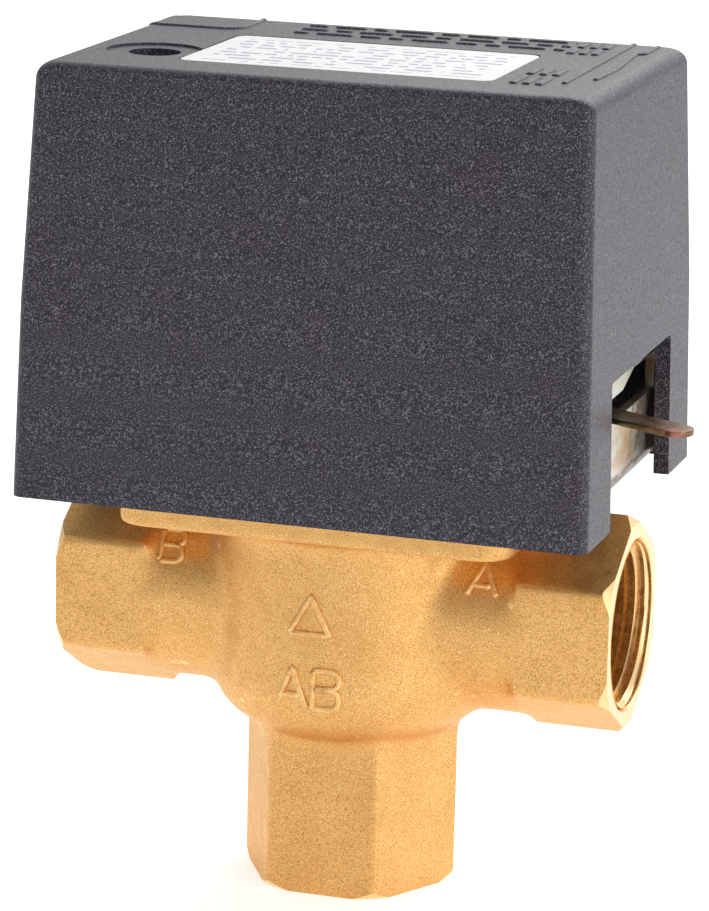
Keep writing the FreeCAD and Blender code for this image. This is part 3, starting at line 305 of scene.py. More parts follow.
def cast_brass():
    """Sand-blasted brass casting: fine sparkling grain and slow changes of tone."""
    make = Finish("cast_brass", metallic=1.0, roughness=0.46)
    tone = make.mix(make.span(make.noise(9.0), 0.3, 0.7), (0.76, 0.425, 0.140), (0.86, 0.505, 0.180))
    grain = make.mix(make.span(make.noise(0.20, 2.0), 0.36, 0.52), (0.52, 0.27, 0.075), tone)
    bright = make.mix(make.span(make.noise(0.17, 1.0), 0.60, 0.72), grain, (1.0, 0.80, 0.46))
    make.colour(make.mix(make.worn(), bright, (0.98, 0.68, 0.32)))
    make.rough(make.noise(2.5), 0.42, 0.55)
    make.bump(make.noise(3.0), 0.12, 0.5)
    make.bump(make.noise(0.30, 3.0, 0.6), 0.06, 0.8)
    return make.material


def machined_brass():
    """Turned faces and threads: bright, pinkish, with fine tool marks."""
    make = Finish("machined_brass", metallic=1.0, roughness=0.24)
    tone = make.mix(make.span(make.noise(5.0), 0.3, 0.7), (0.84, 0.56, 0.26), (0.92, 0.66, 0.36))
    fine = make.noise(0.25, 2.0)
    make.colour(make.mix(make.span(fine, 0.35, 0.65), tone, (0.90, 0.62, 0.30)))
    make.rough(make.noise(1.5), 0.20, 0.34)
    make.bump(fine, 0.006, 0.5)
    return make.material


def turned_brass():
    make = Finish("turned_brass", metallic=1.0, roughness=0.30)
    make.colour(make.mix(make.span(make.noise(4.0), 0.3, 0.7), (0.80, 0.55, 0.25), (0.90, 0.68, 0.36)))
    make.rough(make.noise(0.8), 0.22, 0.40)
    make.bump(make.noise(0.3, 2.0), 0.015, 0.6)
    return make.material


def metal(name, dark, light, roughness, grain=0.35, depth=0.015, stretch=(1.0, 1.0, 1.0)):
    """Plain worked metal: two tones, fine grain or brushing and a few rubbed spots."""
    make = Finish(name, metallic=1.0, roughness=roughness)
    fine = make.noise(grain, 3.0, vector=make.scaled(stretch))
    tone = make.mix(make.span(make.noise(5.0), 0.3, 0.7), dark, light)
    shaded = make.mix(make.span(fine, 0.3, 0.7), tone, dark)
    bright = tuple(min(1.0, value * 1.25) for value in light)
    rubbed = make.span(make.noise(2.4, 4.0), 0.60, 0.72)
    make.colour(make.mix(rubbed, shaded, bright))
    make.rough(make.noise(1.4), roughness * 0.8, roughness * 1.25)
    make.bump(fine, depth, 0.6)
    return make.material


def passivated_zinc(name, gold, pale, pink, green, painted_brass_reflection=None):
    """Yellow-passivated plating: thin-film patches of four tones, and a painted reflection of the shaded
    brass body, darker, on a bend below a level.
    """
    make = Finish(name, metallic=0.9, roughness=0.32)
    patch = make.noise(7.0, 2.0, vector=make.scaled((1.0, 0.6, 1.4)))
    base = make.mix(make.span(patch, 0.42, 0.62), pale, gold)
    warm = make.mix(make.span(make.noise(5.0, 2.0), 0.50, 0.68), base, pink)
    cool = make.mix(make.span(make.noise(8.0, 2.0), 0.52, 0.70), warm, green)
    # Below the level and past the bend, a painted dark reflection of the shaded brass body replaces the
    # plating's colours.
    if painted_brass_reflection:
        level, tone = painted_brass_reflection
        height = make.maths("ADD", make.part(2), make.maths("MULTIPLY", make.noise(3.0), 0.8))
        above = make.span(height, level - 0.2, level + 0.6)
        before_bend = make.span(make.part(0), 37.2, 38.4, 1.0, 0.0)
        cool = make.mix(make.maths("MAXIMUM", above, before_bend), tone, cool)
    rubbed = make.span(make.noise(1.6, 4.0), 0.64, 0.74)
    make.colour(make.mix(rubbed, cool, pale))
    make.rough(make.noise(1.8), 0.26, 0.44)
    make.bump(make.noise(0.5, 2.0), 0.008, 0.5)
    return make.material


def grained_plastic():
    """Blue-black moulding with a fine leather-like grain and faint sink marks."""
    make = Finish("cover_plastic", roughness=0.44, IOR=1.46)
    grain = make.noise(0.24, 2.0, 0.65)
    drift = make.span(make.noise(16.0), 0.3, 0.7)
    tone = make.mix(drift, (0.020, 0.013, 0.021), (0.022, 0.018, 0.034))
    pits = make.mix(make.span(grain, 0.40, 0.50), (0.002, 0.001, 0.003), tone)
    speck = make.mix(make.span(grain, 0.53, 0.68), pits, (0.19, 0.175, 0.22))
    make.colour(speck)
    make.rough(make.noise(0.6), 0.36, 0.52)
    make.bump(make.noise(18.0, 1.0), 0.35, 0.25)
    make.bump(grain, 0.08, 0.8)
    return make.material


def moulded(name, dark, light, roughness, grain=0.5, depth=0.03, **sockets):
    """Smooth moulded plastic or rubber with a fine skin and slight colour drift."""
    make = Finish(name, roughness=roughness, **sockets)
    fine = make.noise(grain, 3.0)
    tone = make.mix(make.span(make.noise(4.0), 0.3, 0.7), dark, light)
    lighter = tuple(min(1.0, value * 1.3 + 0.02) for value in light)
    rubbed = make.span(make.noise(1.8, 4.0), 0.62, 0.74)
    make.colour(make.mix(rubbed, tone, lighter))
    make.rough(fine, roughness * 0.85, roughness * 1.2)
    make.bump(fine, depth, 0.5)
    return make.material


def printed_label():
    """White film with rows of plain bars in place of print."""
    make = Finish("label", roughness=0.35)
    x = make.part(0)
    y = make.part(1)
    pitch = 3.0
    row = make.maths("FLOOR", make.maths("DIVIDE", y, pitch))
    within = make.maths("FRACT", make.maths("DIVIDE", y, pitch))
    line = make.maths("LESS_THAN", make.maths("ABSOLUTE", make.maths("SUBTRACT", within, 0.5)), 0.18)
    seed = make.node("ShaderNodeCombineXYZ")
    make.link(make.maths("MULTIPLY", x, 0.55), seed.inputs[0])
    make.link(make.maths("MULTIPLY", row, 7.3), seed.inputs[1])
    words = make.node("ShaderNodeTexNoise")
    words.inputs["Scale"].default_value = 1.0
    words.inputs["Detail"].default_value = 0.0
    make.link(seed.outputs[0], words.inputs["Vector"])
    dash = make.maths("GREATER_THAN", words.outputs["Fac"], 0.47)
    inside_x = make.maths("LESS_THAN", make.maths("ABSOLUTE", x), 22.0)
    inside_y = make.maths("LESS_THAN", make.maths("ABSOLUTE", make.maths("ADD", y, 4.5)), 12.0)
    print_area = make.maths("MULTIPLY", make.maths("MULTIPLY", line, dash),
                            make.maths("MULTIPLY", inside_x, inside_y))
    paper = make.mix(make.span(make.noise(6.0), 0.3, 0.7), (0.84, 0.84, 0.85), (0.90, 0.90, 0.90))
    make.colour(make.mix(print_area, paper, (0.30, 0.33, 0.45)))
    make.rough(make.noise(1.0), 0.28, 0.45)
    make.bump(make.noise(0.6), 0.01, 0.4)
    return make.material


materials = {
    "cast_brass": cast_brass(),
    "turned_brass": turned_brass(),
    "steel": metal("steel", (0.46, 0.46, 0.47), (0.62, 0.62, 0.62), 0.30, stretch=(1.0, 1.0, 4.0)),
    # zinc_sheet's last argument paints a dark reflection of the shaded brass body onto the plate's bend
    # below 70 mm.
    "zinc_sheet": passivated_zinc("zinc_sheet", (0.50, 0.33, 0.16), (0.56, 0.58, 0.50),
                                  (0.62, 0.42, 0.42), (0.48, 0.58, 0.46),
                                  (70.0, (0.085, 0.050, 0.018))),
    "zinc_screw": metal("zinc_screw", (0.55, 0.55, 0.53), (0.72, 0.72, 0.68), 0.28),
    "spring_steel": metal("spring_steel", (0.26, 0.26, 0.28), (0.42, 0.42, 0.44), 0.34),
    "rubber": moulded("rubber", (0.018, 0.018, 0.019), (0.035, 0.035, 0.036), 0.62),
    "gear_steel": metal("gear_steel", (0.36, 0.35, 0.32), (0.50, 0.48, 0.44), 0.42, 0.25, 0.03),
    "gear_plastic": moulded("gear_plastic", (0.70, 0.68, 0.60), (0.80, 0.79, 0.72), 0.38),
    "motor_can": metal("motor_can", (0.56, 0.56, 0.57), (0.74, 0.74, 0.75), 0.32, 0.5, 0.01,
                       (0.3, 0.3, 6.0)),
    "switch_case": moulded("switch_case", (0.020, 0.020, 0.022), (0.035, 0.035, 0.038), 0.45),
    "plunger": moulded("plunger", (0.42, 0.03, 0.02), (0.55, 0.05, 0.04), 0.30),
    "block_plastic": moulded("block_plastic", (0.62, 0.62, 0.57), (0.74, 0.74, 0.69), 0.42),
    "cover_plastic": grained_plastic(),
    "label": printed_label(),
}
bright_brass = machined_brass()
lever_zinc = passivated_zinc("lever_zinc", (0.16, 0.08, 0.035), (0.20, 0.12, 0.06), (0.42, 0.17, 0.15),
                             (0.20, 0.20, 0.11))


# --- Cast body ------------------------------------------------------------------------------------

PORT_REACH = record["mounts"][0]["pos_m"][0] / MM + 1.35
PORT_LEVEL = record["mounts"][0]["pos_m"][2] / MM
HEX_FLATS = 31.0
HEX_CORNER = HEX_FLATS / math.sqrt(3)
FACE_CHAMFER = 1.5
THREAD_MAJOR = 13.22
THREAD_MINOR = 12.06
THREAD_PITCH = 1.814
THREAD_DEPTH = 17.0
MOUTH_RADIUS = 13.9
PASSAGE = 9.0
SEAT_PLANE = 12.4
DOME_FOOT = 26.3
DOME_ROUND = 9.0
DOME_RADIUS = 23.0
DECK = 65.5
SKIN = 0.42
HEX_START = 30.5
NECK_RADIUS = 15.8
FLANGE_HALF = (32.0, 27.0)
FLANGE_CORNER = 5.0
FLANGE_FOOT = 61.0
CHAMBER_FLOOR = 31.0
CHAMBER_RADIUS = 19.5
BOSS_RADIUS = 10.5
SEAT_RADIUS = 7.5
SEAT_END = 18.4
MOUTH_BEVEL = 0.9
BONNET_RECESS = (22.0, 2.9)
SCREW_PLACES = (27.0, 22.0)
SCREW_BORE = (2.0, 3.9)


def hex_ring(reach, axis, level):
    """The six corners of a hexagonal end at a distance along its axis."""
    ring = []
    for index in range(6):
        angle = math.radians(60 * index)
        across = HEX_CORNER * math.cos(angle)
        up = HEX_CORNER * math.sin(angle)
        ring.append((across, up, reach) if axis == "Z" else (reach, up, across + level))
    return ring


def cast_blank():
    """The casting's solid outline, longer than the finished ports, as overlapping closed shells."""
    shells = [
        stack("hex_a", [hex_ring(reach, "X", PORT_LEVEL) for reach in (HEX_START, PORT_REACH + 2)]),
        stack("hex_b", [hex_ring(reach, "X", PORT_LEVEL) for reach in (-PORT_REACH - 2, -HEX_START)]),
        stack("hex_ab", [hex_ring(reach, "Z", 0) for reach in (-2.0, 30.0)]),
        turned("neck", [(-HEX_START, NECK_RADIUS), (HEX_START, NECK_RADIUS)], "X", (0, 0, PORT_LEVEL)),
        dome(),
    ]
    outline = rounded_ring(*FLANGE_HALF, FLANGE_CORNER, 0.0)
    shells.append(stack("flange", [[(x, y, z) for x, y in outline] for z in (FLANGE_FOOT, DECK + 1.5)]))
    whole = shells[0]
    for shell in shells[1:]:
        combine(whole, shell, "UNION")
    return whole


def dome():
    """The chamber's round outside, with its rounded foot."""
    profile = []
    for angle in range(0, 91, 10):
        turn = math.radians(angle)
        profile.append((DOME_FOOT + DOME_ROUND * (1 - math.cos(turn)),
                        DOME_RADIUS - DOME_ROUND * (1 - math.sin(turn))))
    return turned("dome", profile + [(DECK, DOME_RADIUS)])


def rounded_ring(half_x, half_y, radius, centre_x, steps=8):
    """A rounded rectangle, anticlockwise from its +X +Y corner."""
    points = []
    for corner, (sign_x, sign_y) in enumerate(((1, 1), (-1, 1), (-1, -1), (1, -1))):
        for step in range(steps + 1):
            angle = math.pi / 2 * (corner + step / steps)
            points.append((centre_x + sign_x * (half_x - radius) + radius * math.cos(angle),
                           sign_y * (half_y - radius) + radius * math.sin(angle)))
    return points


def soften(item, fill_rounds, smooth_rounds):
    """Fill the inner corners as in a casting, then take the edge off the whole surface."""
    mesh = item.data
    count = len(mesh.vertices)
    points = np.empty(count * 3)
    mesh.vertices.foreach_get("co", points)
    points = points.reshape(-1, 3)
    edges = np.empty(len(mesh.edges) * 2, dtype=np.int64)
    mesh.edges.foreach_get("vertices", edges)
    first, second = edges.reshape(-1, 2).T
    degree = np.bincount(first, minlength=count) + np.bincount(second, minlength=count)
    triangles = triangle_corners(mesh)

    def mean_offset():
        total = np.zeros_like(points)
        np.add.at(total, first, points[second])
        np.add.at(total, second, points[first])
        return total / degree[:, None] - points

    def normals():
        a, b, c = (points[triangles[:, index]] for index in range(3))
        face = np.cross(b - a, c - a)
        total = np.zeros_like(points)
        for index in range(3):
            np.add.at(total, triangles[:, index], face)
        return total / np.maximum(np.linalg.norm(total, axis=1), 1e-12)[:, None]

    for _ in range(fill_rounds):
        offset = mean_offset()
        outward_part = (offset * normals()).sum(axis=1)
        points += offset * np.where(outward_part > 0, 0.9, 0.0)[:, None]
    for _ in range(smooth_rounds):
        points += 0.5 * mean_offset()
    mesh.vertices.foreach_set("co", points.ravel())
    mesh.update()


def triangle_corners(mesh):
    mesh.calc_loop_triangles()
    corners = np.empty(len(mesh.loop_triangles) * 3, dtype=np.int64)
    mesh.loop_triangles.foreach_get("vertices", corners)
    return corners.reshape(-1, 3)


def cavity():
    """Everything inside the casting: chamber with its two seats, passages and thread bores."""
    hollow = turned("cavity", [(CHAMBER_FLOOR, CHAMBER_RADIUS), (DECK + 2, CHAMBER_RADIUS)])
    level = (0, 0, PORT_LEVEL)
    for sign in (-1, 1):
        boss = turned("boss", [(sign * SEAT_PLANE, BOSS_RADIUS), (sign * 24.0, BOSS_RADIUS)], "X", level)
        combine(hollow, boss, "DIFFERENCE")
    for sign in (-1, 1):
        bore = [(sign * 11.0, SEAT_RADIUS), (sign * SEAT_END, SEAT_RADIUS),
                (sign * (SEAT_END + 0.01), PASSAGE),
                (sign * (PORT_REACH - THREAD_DEPTH), PASSAGE),
                (sign * (PORT_REACH - THREAD_DEPTH + 0.01), THREAD_MAJOR + 0.05),
                (sign * (PORT_REACH - MOUTH_BEVEL), THREAD_MAJOR + 0.05), (sign * PORT_REACH, MOUTH_RADIUS),
                (sign * (PORT_REACH + 0.5), MOUTH_RADIUS)]
        combine(hollow, turned("bore", bore, "X", level), "UNION")
    bottom = [(-0.5, MOUTH_RADIUS), (0.0, MOUTH_RADIUS), (MOUTH_BEVEL, THREAD_MAJOR + 0.05),
              (THREAD_DEPTH - 0.01, THREAD_MAJOR + 0.05), (THREAD_DEPTH, PASSAGE), (40.0, PASSAGE)]
    combine(hollow, turned("bottom_bore", bottom), "UNION")
    radius, depth = BONNET_RECESS
    combine(hollow, turned("recess", [(DECK - depth, radius), (DECK + 2, radius)]), "UNION")
    along, across = SCREW_PLACES
    radius, depth = SCREW_BORE
    for x in (-along, along):
        for y in (-across, across):
            screw_hole = turned("screw_hole", [(DECK - depth, radius), (DECK + 2, radius)],
                                centre=(x, y, 0), steps=32)
            combine(hollow, screw_hole, "UNION")
    return hollow


def turning_envelope(axis, low, high, level):
    """What is left after facing the ends between low and high and chamfering their corners."""
    inner = HEX_CORNER - FACE_CHAMFER
    profile = [(high, inner), (high - FACE_CHAMFER, HEX_CORNER + 0.02), (high - 1.6, 90.0)]
    if axis == "X":
        profile += [(low + 1.6, 90.0), (low + FACE_CHAMFER, HEX_CORNER + 0.02), (low, inner)]
    else:
        profile = [(low, inner), (low + FACE_CHAMFER, HEX_CORNER + 0.02), (low + 1.6, 90.0),
                   (high, 90.0)]
    return turned("envelope", profile, axis, (0, 0, level), steps=128)


def cast_body():
    """The brass casting with soft inner corners, its machined ends, bores and seats."""
    item = cast_blank()
    item.name = "valve_casting"
    modify(item, "REMESH", mode="VOXEL", voxel_size=SKIN * MM)
    soften(item, fill_rounds=60, smooth_rounds=7)
    combine(item, turning_envelope("X", -PORT_REACH, PORT_REACH, PORT_LEVEL), "INTERSECT")
    combine(item, turning_envelope("Z", 0.0, DECK, 0), "INTERSECT")
    combine(item, cavity(), "DIFFERENCE")
    finish(item, "base", [materials["cast_brass"], bright_brass], "cast_brass", "valve_body")
    mesh = item.data
    for face in mesh.polygons:
        centre = face.center / MM
        side_reach = abs(centre.x)
        from_side = math.hypot(centre.y, centre.z - PORT_LEVEL)
        from_bottom = math.hypot(centre.x, centre.y)
        faced = (side_reach > PORT_REACH - 1.6 and abs(face.normal.x) > 0.4) or (
            centre.z < 1.6 and abs(face.normal.z) > 0.4)
        bored = (side_reach > 11 and from_side < THREAD_MAJOR + 0.5) or (
            centre.z < 40 and from_bottom < THREAD_MAJOR + 0.5)
        inside = centre.z > 30 and from_bottom < 20 and from_side > 9
        face.material_index = 1 if (faced or bored) and not inside else 0
    mesh.shade_smooth()
    mesh.set_sharp_from_angle(angle=math.radians(32))
    return item


def thread(name, start, end, axis, centre):
    """The helical ridge of a G 3/4 thread from its inner end to the mouth, as an open surface."""
    sign = 1 if end > start else -1
    length = abs(end - start)
    around = 96
    per_pitch = 12
    rows = int(length / THREAD_PITCH * per_pitch)
    vertices = []
    for row in range(-per_pitch, rows + 1):
        phase = (row % per_pitch) / per_pitch
        rise = min(1.0, max(0.0, 1.55 - 3.1 * abs(phase - 0.5)))
        ridge = THREAD_MINOR + (THREAD_MAJOR - THREAD_MINOR) * rise
        for step in range(around):
            angle = 2 * math.pi * step / around
            depth = min(length, max(0.0, (row / per_pitch + step / around) * THREAD_PITCH))
            mouth = MOUTH_RADIUS - 1.0 * (length - depth)
            radius = min(THREAD_MAJOR + 0.06, max(ridge, mouth))
            point = Vector((radius * math.cos(angle), radius * math.sin(angle), start + sign * depth))
            vertices.append(ALONG[axis] @ point + Vector(centre))
    faces = []
    for row in range(rows + per_pitch):
        for step in range(around):
            here = row * around + step
            # The last column meets the first one a whole pitch further along.
            beside = here + 1 if step < around - 1 else (row + per_pitch) * around
            if beside + around < len(vertices):
                faces.append((here, beside, beside + around, here + around))
    item = build(name, vertices, faces)
    edit = bmesh.new()
    edit.from_mesh(item.data)
    bmesh.ops.remove_doubles(edit, verts=edit.verts, dist=0.001 * MM)
    bmesh.ops.dissolve_degenerate(edit, edges=edit.edges, dist=0.001 * MM)
    edit.to_mesh(item.data)
    edit.free()
    item.data.shade_smooth()
    item.data.set_sharp_from_angle(angle=math.radians(40))
    return finish(item, "base", bright_brass, "cast_brass")


def letter_a(x, z, width, height):
    """Strokes of a plain capital A with its lower left corner at x, z."""
    return [[(x, z), (x + width / 2, z + height), (x + width, z)],
            [(x + 0.2 * width, z + 0.32 * height), (x + 0.8 * width, z + 0.32 * height)]]


def letter_b(x, z, width, height):
    """Strokes of a plain capital B with its lower left corner at x, z."""
    strokes = [[(x, z), (x, z + height)]]
    for low, high in ((0.0, 0.53), (0.53, 1.0)):
        radius = (high - low) * height / 2
        middle = z + (low + high) / 2 * height
        bowl = [(x, middle - radius)]
        for step in range(9):
            angle = math.radians(-90 + 180 * step / 8)
            bowl.append((x + width - radius + radius * math.cos(angle),
                         middle + radius * math.sin(angle)))
        bowl.append((x, middle + radius))
        strokes.append(bowl)
    return strokes


def flow_arrow(x, z, width, height):
    return [[(x, z), (x + width * 0.53, z + height), (x + width, z), (x, z)]]


def raised_strokes(name, strokes, surface, width=1.15, height=0.62, towards=(0, 1, 0)):
    """Rounded ridges along strokes that are thrown onto a surface in one direction."""
    tree = BVHTree.FromPolygons([vertex.co for vertex in surface.data.vertices],
                                [face.vertices for face in surface.data.polygons])
    direction = Vector(towards)
    vertices = []
    faces = []
    section = ((-0.5, -0.35), (-0.42, 0.45), (-0.2, 0.9), (0.2, 0.9), (0.42, 0.45), (0.5, -0.35))
    for stroke in strokes:
        path = []
        for start, end in zip(stroke, stroke[1:]):
            steps = max(1, round(math.dist(start, end) / 0.3))
            path += [Vector(start).lerp(Vector(end), step / steps) for step in range(steps)]
        path.append(Vector(stroke[-1]))
        spine = []
        for point in path:
            origin = stroke_origin(point, direction)
            place, normal = tree.ray_cast(origin, direction)[:2]
            if place:
                spine.append((place / MM, normal))
        for index, (place, normal) in enumerate(spine):
            before = spine[max(0, index - 1)][0]
            after = spine[min(len(spine) - 1, index + 1)][0]
            along = (after - before).normalized()
            side = normal.cross(along).normalized()
            end_scale = 0.55 if index in (0, len(spine) - 1) else 1.0
            for across, up in section:
                vertices.append(place + side * (across * width * end_scale)
                                + normal * (up * height * (end_scale if up > 0 else 1.0)))
        first = len(vertices) - len(spine) * len(section)
        count = len(section)
        for index in range(len(spine) - 1):
            for step in range(count):
                following = (step + 1) % count
                row = first + index * count
                faces.append((row + step, row + following, row + count + following,
                              row + count + step))
        faces.append(tuple(range(first, first + count)))
        faces.append(tuple(range(len(vertices) - count, len(vertices))))
    item = build(name, vertices, faces)
    outward(item)
    item.data.shade_smooth()
    item.data.set_sharp_from_angle(angle=math.radians(70))
    return item


def stroke_origin(point, direction):
    """Where the ray for a stroke's point starts: in front of the valve, or above it."""
    if abs(direction.y) > 0.5:
        return Vector((point[0] * MM, -0.060, point[1] * MM))
    return Vector((point[0] * MM, point[1] * MM, 0.160))


casting = cast_body()
thread("port_a_thread", PORT_REACH - THREAD_DEPTH, PORT_REACH - 0.05, "X", (0, 0, PORT_LEVEL))
thread("port_b_thread", -PORT_REACH + THREAD_DEPTH, -PORT_REACH + 0.05, "X", (0, 0, PORT_LEVEL))
thread("port_ab_thread", THREAD_DEPTH, 0.05, "Z", (0, 0, 0))
port_marks = {
    "port_ab_mark": letter_a(-5.6, 33.5, 5.0, 6.3) + letter_b(0.4, 33.5, 4.2, 6.3),
    "port_a_mark": letter_a(22.4, 52.3, 5.0, 4.6),
    "port_b_mark": letter_b(-28.4, 52.5, 3.6, 4.4),
    "flow_mark": flow_arrow(-3.6, 45.6, 6.5, 6.1),
}
for mark_name, mark_strokes in port_marks.items():
    finish(raised_strokes(mark_name, mark_strokes, casting), "base", materials["cast_brass"],
           "cast_brass")


# --- Cover ----------------------------------------------------------------------------------------

cover_low, cover_high = (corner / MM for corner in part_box("cover_shell"))
COVER_CENTRE = (cover_low.x + cover_high.x) / 2
COVER_HALF_X = (cover_high.x - cover_low.x) / 2
COVER_HALF_Y = (cover_high.y - cover_low.y) / 2
COVER_BOTTOM = cover_low.z
COVER_TOP = cover_high.z
COVER_CORNER = 2.0
INNER_CORNER = 0.8
KNEE = 97.0
KNEE_INSET = 0.8
TOP_INSET = Vector((2.1, 3.3))
TOP_ROUND = 2.6
WALL = 2.5
SLOT_HALF = 19.3
SLOT_TOP = 89.1
WELL = Vector((-31.6, -10.8, 121.0))
SLEEVE_RADIUS = 5.6
COVER_SCREW_RADIUS = 2.0
WELL_RADIUS = 4.1
SPOT_FACE = (7.6, 0.4)
LABEL_SINK = 0.3
LABEL_GAP = 0.2
LABEL_CORNER = 2.0
LABEL_HALF = (25.0, 15.0)
LABEL_Y = -4.0


def cover_ring(inset, level, corner=COVER_CORNER):
    """The cover's outline at a level, drawn in by an inset along X and one along Y."""
    ring = rounded_ring(COVER_HALF_X - inset[0], COVER_HALF_Y - inset[1], corner, COVER_CENTRE)
    return [(x, y, level) for x, y in ring]


def cover_inset(level):
    """How far the walls stand in from the bottom edge at a level."""
    knee = Vector((KNEE_INSET, KNEE_INSET))
    if level < KNEE:
        return knee * ((level - COVER_BOTTOM) / (KNEE - COVER_BOTTOM))
    return knee.lerp(TOP_INSET, (level - KNEE) / (COVER_TOP - TOP_ROUND - KNEE))


def cover_shell():
    """Moulded cover: rounded top edge, drafted walls, lever slot, screw well and label recess."""
    rings = [cover_ring(cover_inset(level), level)
             for level in (COVER_BOTTOM, KNEE, COVER_TOP - TOP_ROUND)]
    both = Vector((1.0, 1.0))
    for step in range(1, 9):
        angle = math.radians(90 * step / 8)
        rings.append(cover_ring(TOP_INSET + both * TOP_ROUND * (1 - math.cos(angle)),
                                COVER_TOP - TOP_ROUND * (1 - math.sin(angle))))
    shell = stack("cover_moulding", rings)
    inner_top = COVER_TOP - WALL
    inside = [cover_ring(both * WALL, COVER_BOTTOM - 1, INNER_CORNER)]
    inside += [cover_ring(both * WALL + cover_inset(level), level, INNER_CORNER)
               for level in (COVER_BOTTOM, KNEE, inner_top - 1.2)]
    inside.append(cover_ring(both * (WALL + 1.0) + TOP_INSET, inner_top, INNER_CORNER))
    combine(shell, stack("cover_inside", inside), "DIFFERENCE")
    slot_low = COVER_BOTTOM - 4
    outline = rounded_ring(SLOT_HALF, (SLOT_TOP - slot_low) / 2, 0.9, 0.0)
    slot = stack("slot", [[(x, y, z + (SLOT_TOP + slot_low) / 2) for y, z in outline]
                          for x in (COVER_CENTRE + COVER_HALF_X - 6,
                                    COVER_CENTRE + COVER_HALF_X + 3)])
    combine(shell, slot, "DIFFERENCE")
    where = (WELL.x, WELL.y, 0)
    sleeve = turned("sleeve", [(WELL.z - 2, SLEEVE_RADIUS), (COVER_TOP - 1.0, SLEEVE_RADIUS)],
                    centre=where)
    combine(shell, sleeve, "UNION")
    face_radius, face_depth = SPOT_FACE
    well = [(WELL.z - 3, COVER_SCREW_RADIUS), (WELL.z, COVER_SCREW_RADIUS), (WELL.z + 0.01, WELL_RADIUS),
            (COVER_TOP - face_depth, WELL_RADIUS), (COVER_TOP - face_depth + 0.01, face_radius),
            (COVER_TOP + 1, face_radius)]
    combine(shell, turned("well", well, centre=where), "DIFFERENCE")
    outline = rounded_ring(LABEL_HALF[0] + LABEL_GAP, LABEL_HALF[1] + LABEL_GAP, LABEL_CORNER, 0.0)
    recess = stack("recess", [[(x, y + LABEL_Y, z) for x, y in outline]
                              for z in (COVER_TOP - LABEL_SINK, COVER_TOP + 1)])
    combine(shell, recess, "DIFFERENCE")
    bevel(shell, 0.22, angle=40)
    shade(shell, 50)
    return finish(shell, "cover", materials["cover_plastic"], "cover_plastic", "cover_shell")


def label_sheet():
    """Printed film with rounded corners and a slightly raised rim."""
    rings = []
    base = COVER_TOP - LABEL_SINK
    for inset, height in ((0.0, 0.0), (0.0, 0.17), (0.06, 0.23), (0.5, 0.25)):
        outline = rounded_ring(LABEL_HALF[0] - inset, LABEL_HALF[1] - inset, LABEL_CORNER - inset, 0.0)
        rings.append([(x, y + LABEL_Y, base + height) for x, y in outline])
    sheet = stack("label_film", rings)
    shade(sheet, 40)
    return finish(sheet, "cover", materials["label"], "label", "label")


def word_bars(start, end, level, height, lengths):
    """Short plain dashes one after another along X, in place of a line of raised print."""
    strokes = []
    x = start
    index = 0
    while x < end:
        length = lengths[index % len(lengths)]
        strokes.append([(x, level), (min(x + length, end), level)])
        x += length + height
        index += 1
    return strokes


shell = cover_shell()
label_sheet()
wiring_lines = [
    [(35.8, -16.9), (35.5, 29.0)],
    [(39.2, -11.4), (39.6, -0.2), (38.8, 11.2), (38.4, 17.8), (39.6, 18.8), (39.7, 28.0)],
]
frame_outline = [(x - 35.0, y + 23.5) for x, y in rounded_ring(8.0, 7.5, 3.0, 0.0)]
wiring_lines.append(frame_outline + frame_outline[:1])
finish(raised_strokes("cover_lines", wiring_lines, shell, 1.0, 0.35, (0, 0, -1)), "cover",
       materials["cover_plastic"], "cover_plastic")
dashes = []
DASH_ROWS = ((25.6, (3.0, 5.2, 2.2, 6.4)), (21.4, (4.4, 2.6, 5.6)), (17.2, (2.4, 6.0, 3.4)))
for line_y, pattern in DASH_ROWS:
    dashes += word_bars(-18.0, 27.0, line_y, 1.4, pattern)
for bar_x in (28.6, 30.6, 32.6):
    for bar_low, bar_high in ((-20.0, -12.0), (-10.0, -3.5), (14.0, 19.0), (21.0, 27.0)):
        dashes.append([(bar_x, bar_low), (bar_x, bar_high)])
finish(raised_strokes("cover_dashes", dashes, shell, 1.4, 0.36, (0, 0, -1)), "cover",
       materials["cover_plastic"], "cover_plastic")


# --- Everything else keeps its CAD shape, with its edges broken ------------------------------------

EDGE_WIDTH = {
    "base_plate": 0.18, "gear_plate": 0.18, "manual_lever": 0.16, "motor_end_plate": 0.12,
    "base_screws": 0.18, "gear_plate_screws": 0.15, "motor_screws": 0.15, "switch_screws": 0.15,
    "cover_screw": 0.18, "terminal_screws": 0.12, "plate_pillars": 0.12, "cover_pillar": 0.2,
    "sector_gear": 0.08, "reduction_gear": 0.06, "motor_pinion": 0.05, "bonnet": 0.2,
    "spindle": 0.15, "ball_arm": 0.25, "ball_pin": 0.15, "lever_pin": 0.15, "lever_pivot": 0.15,
    "spring_post": 0.15, "reduction_axle": 0.15, "end_switch": 0.25, "switch_leaf": 0.05,
    "terminal_block": 0.25, "motor_can": 0.15,
}
for node_name, width in EDGE_WIDTH.items():
    piece = copy_of(node_name + "_finished", node_name)
    bevel(piece, width, segments=2, angle=30)
    shade(piece, 35)
    look = lever_zinc if node_name == "manual_lever" else materials[slot_of[node_name]]
    finish(piece, body_of[node_name], look, slot_of[node_name], node_name)

for node_name, item in nodes.items():
    if node_name not in EDGE_WIDTH and node_name not in ("valve_body", "cover_shell", "label"):
        item.data.materials.clear()
        item.data.materials.append(materials[slot_of[node_name]])


# --- Floor, light and camera ------------------------------------------------------------------------

AZIMUTH = math.radians(17.211)
ELEVATION = math.radians(13.871)
ROLL = math.radians(1.405)
DISTANCE = 0.646527
TARGET = Vector((-0.000784, 0.0, 0.069038))
LENS = 159.78


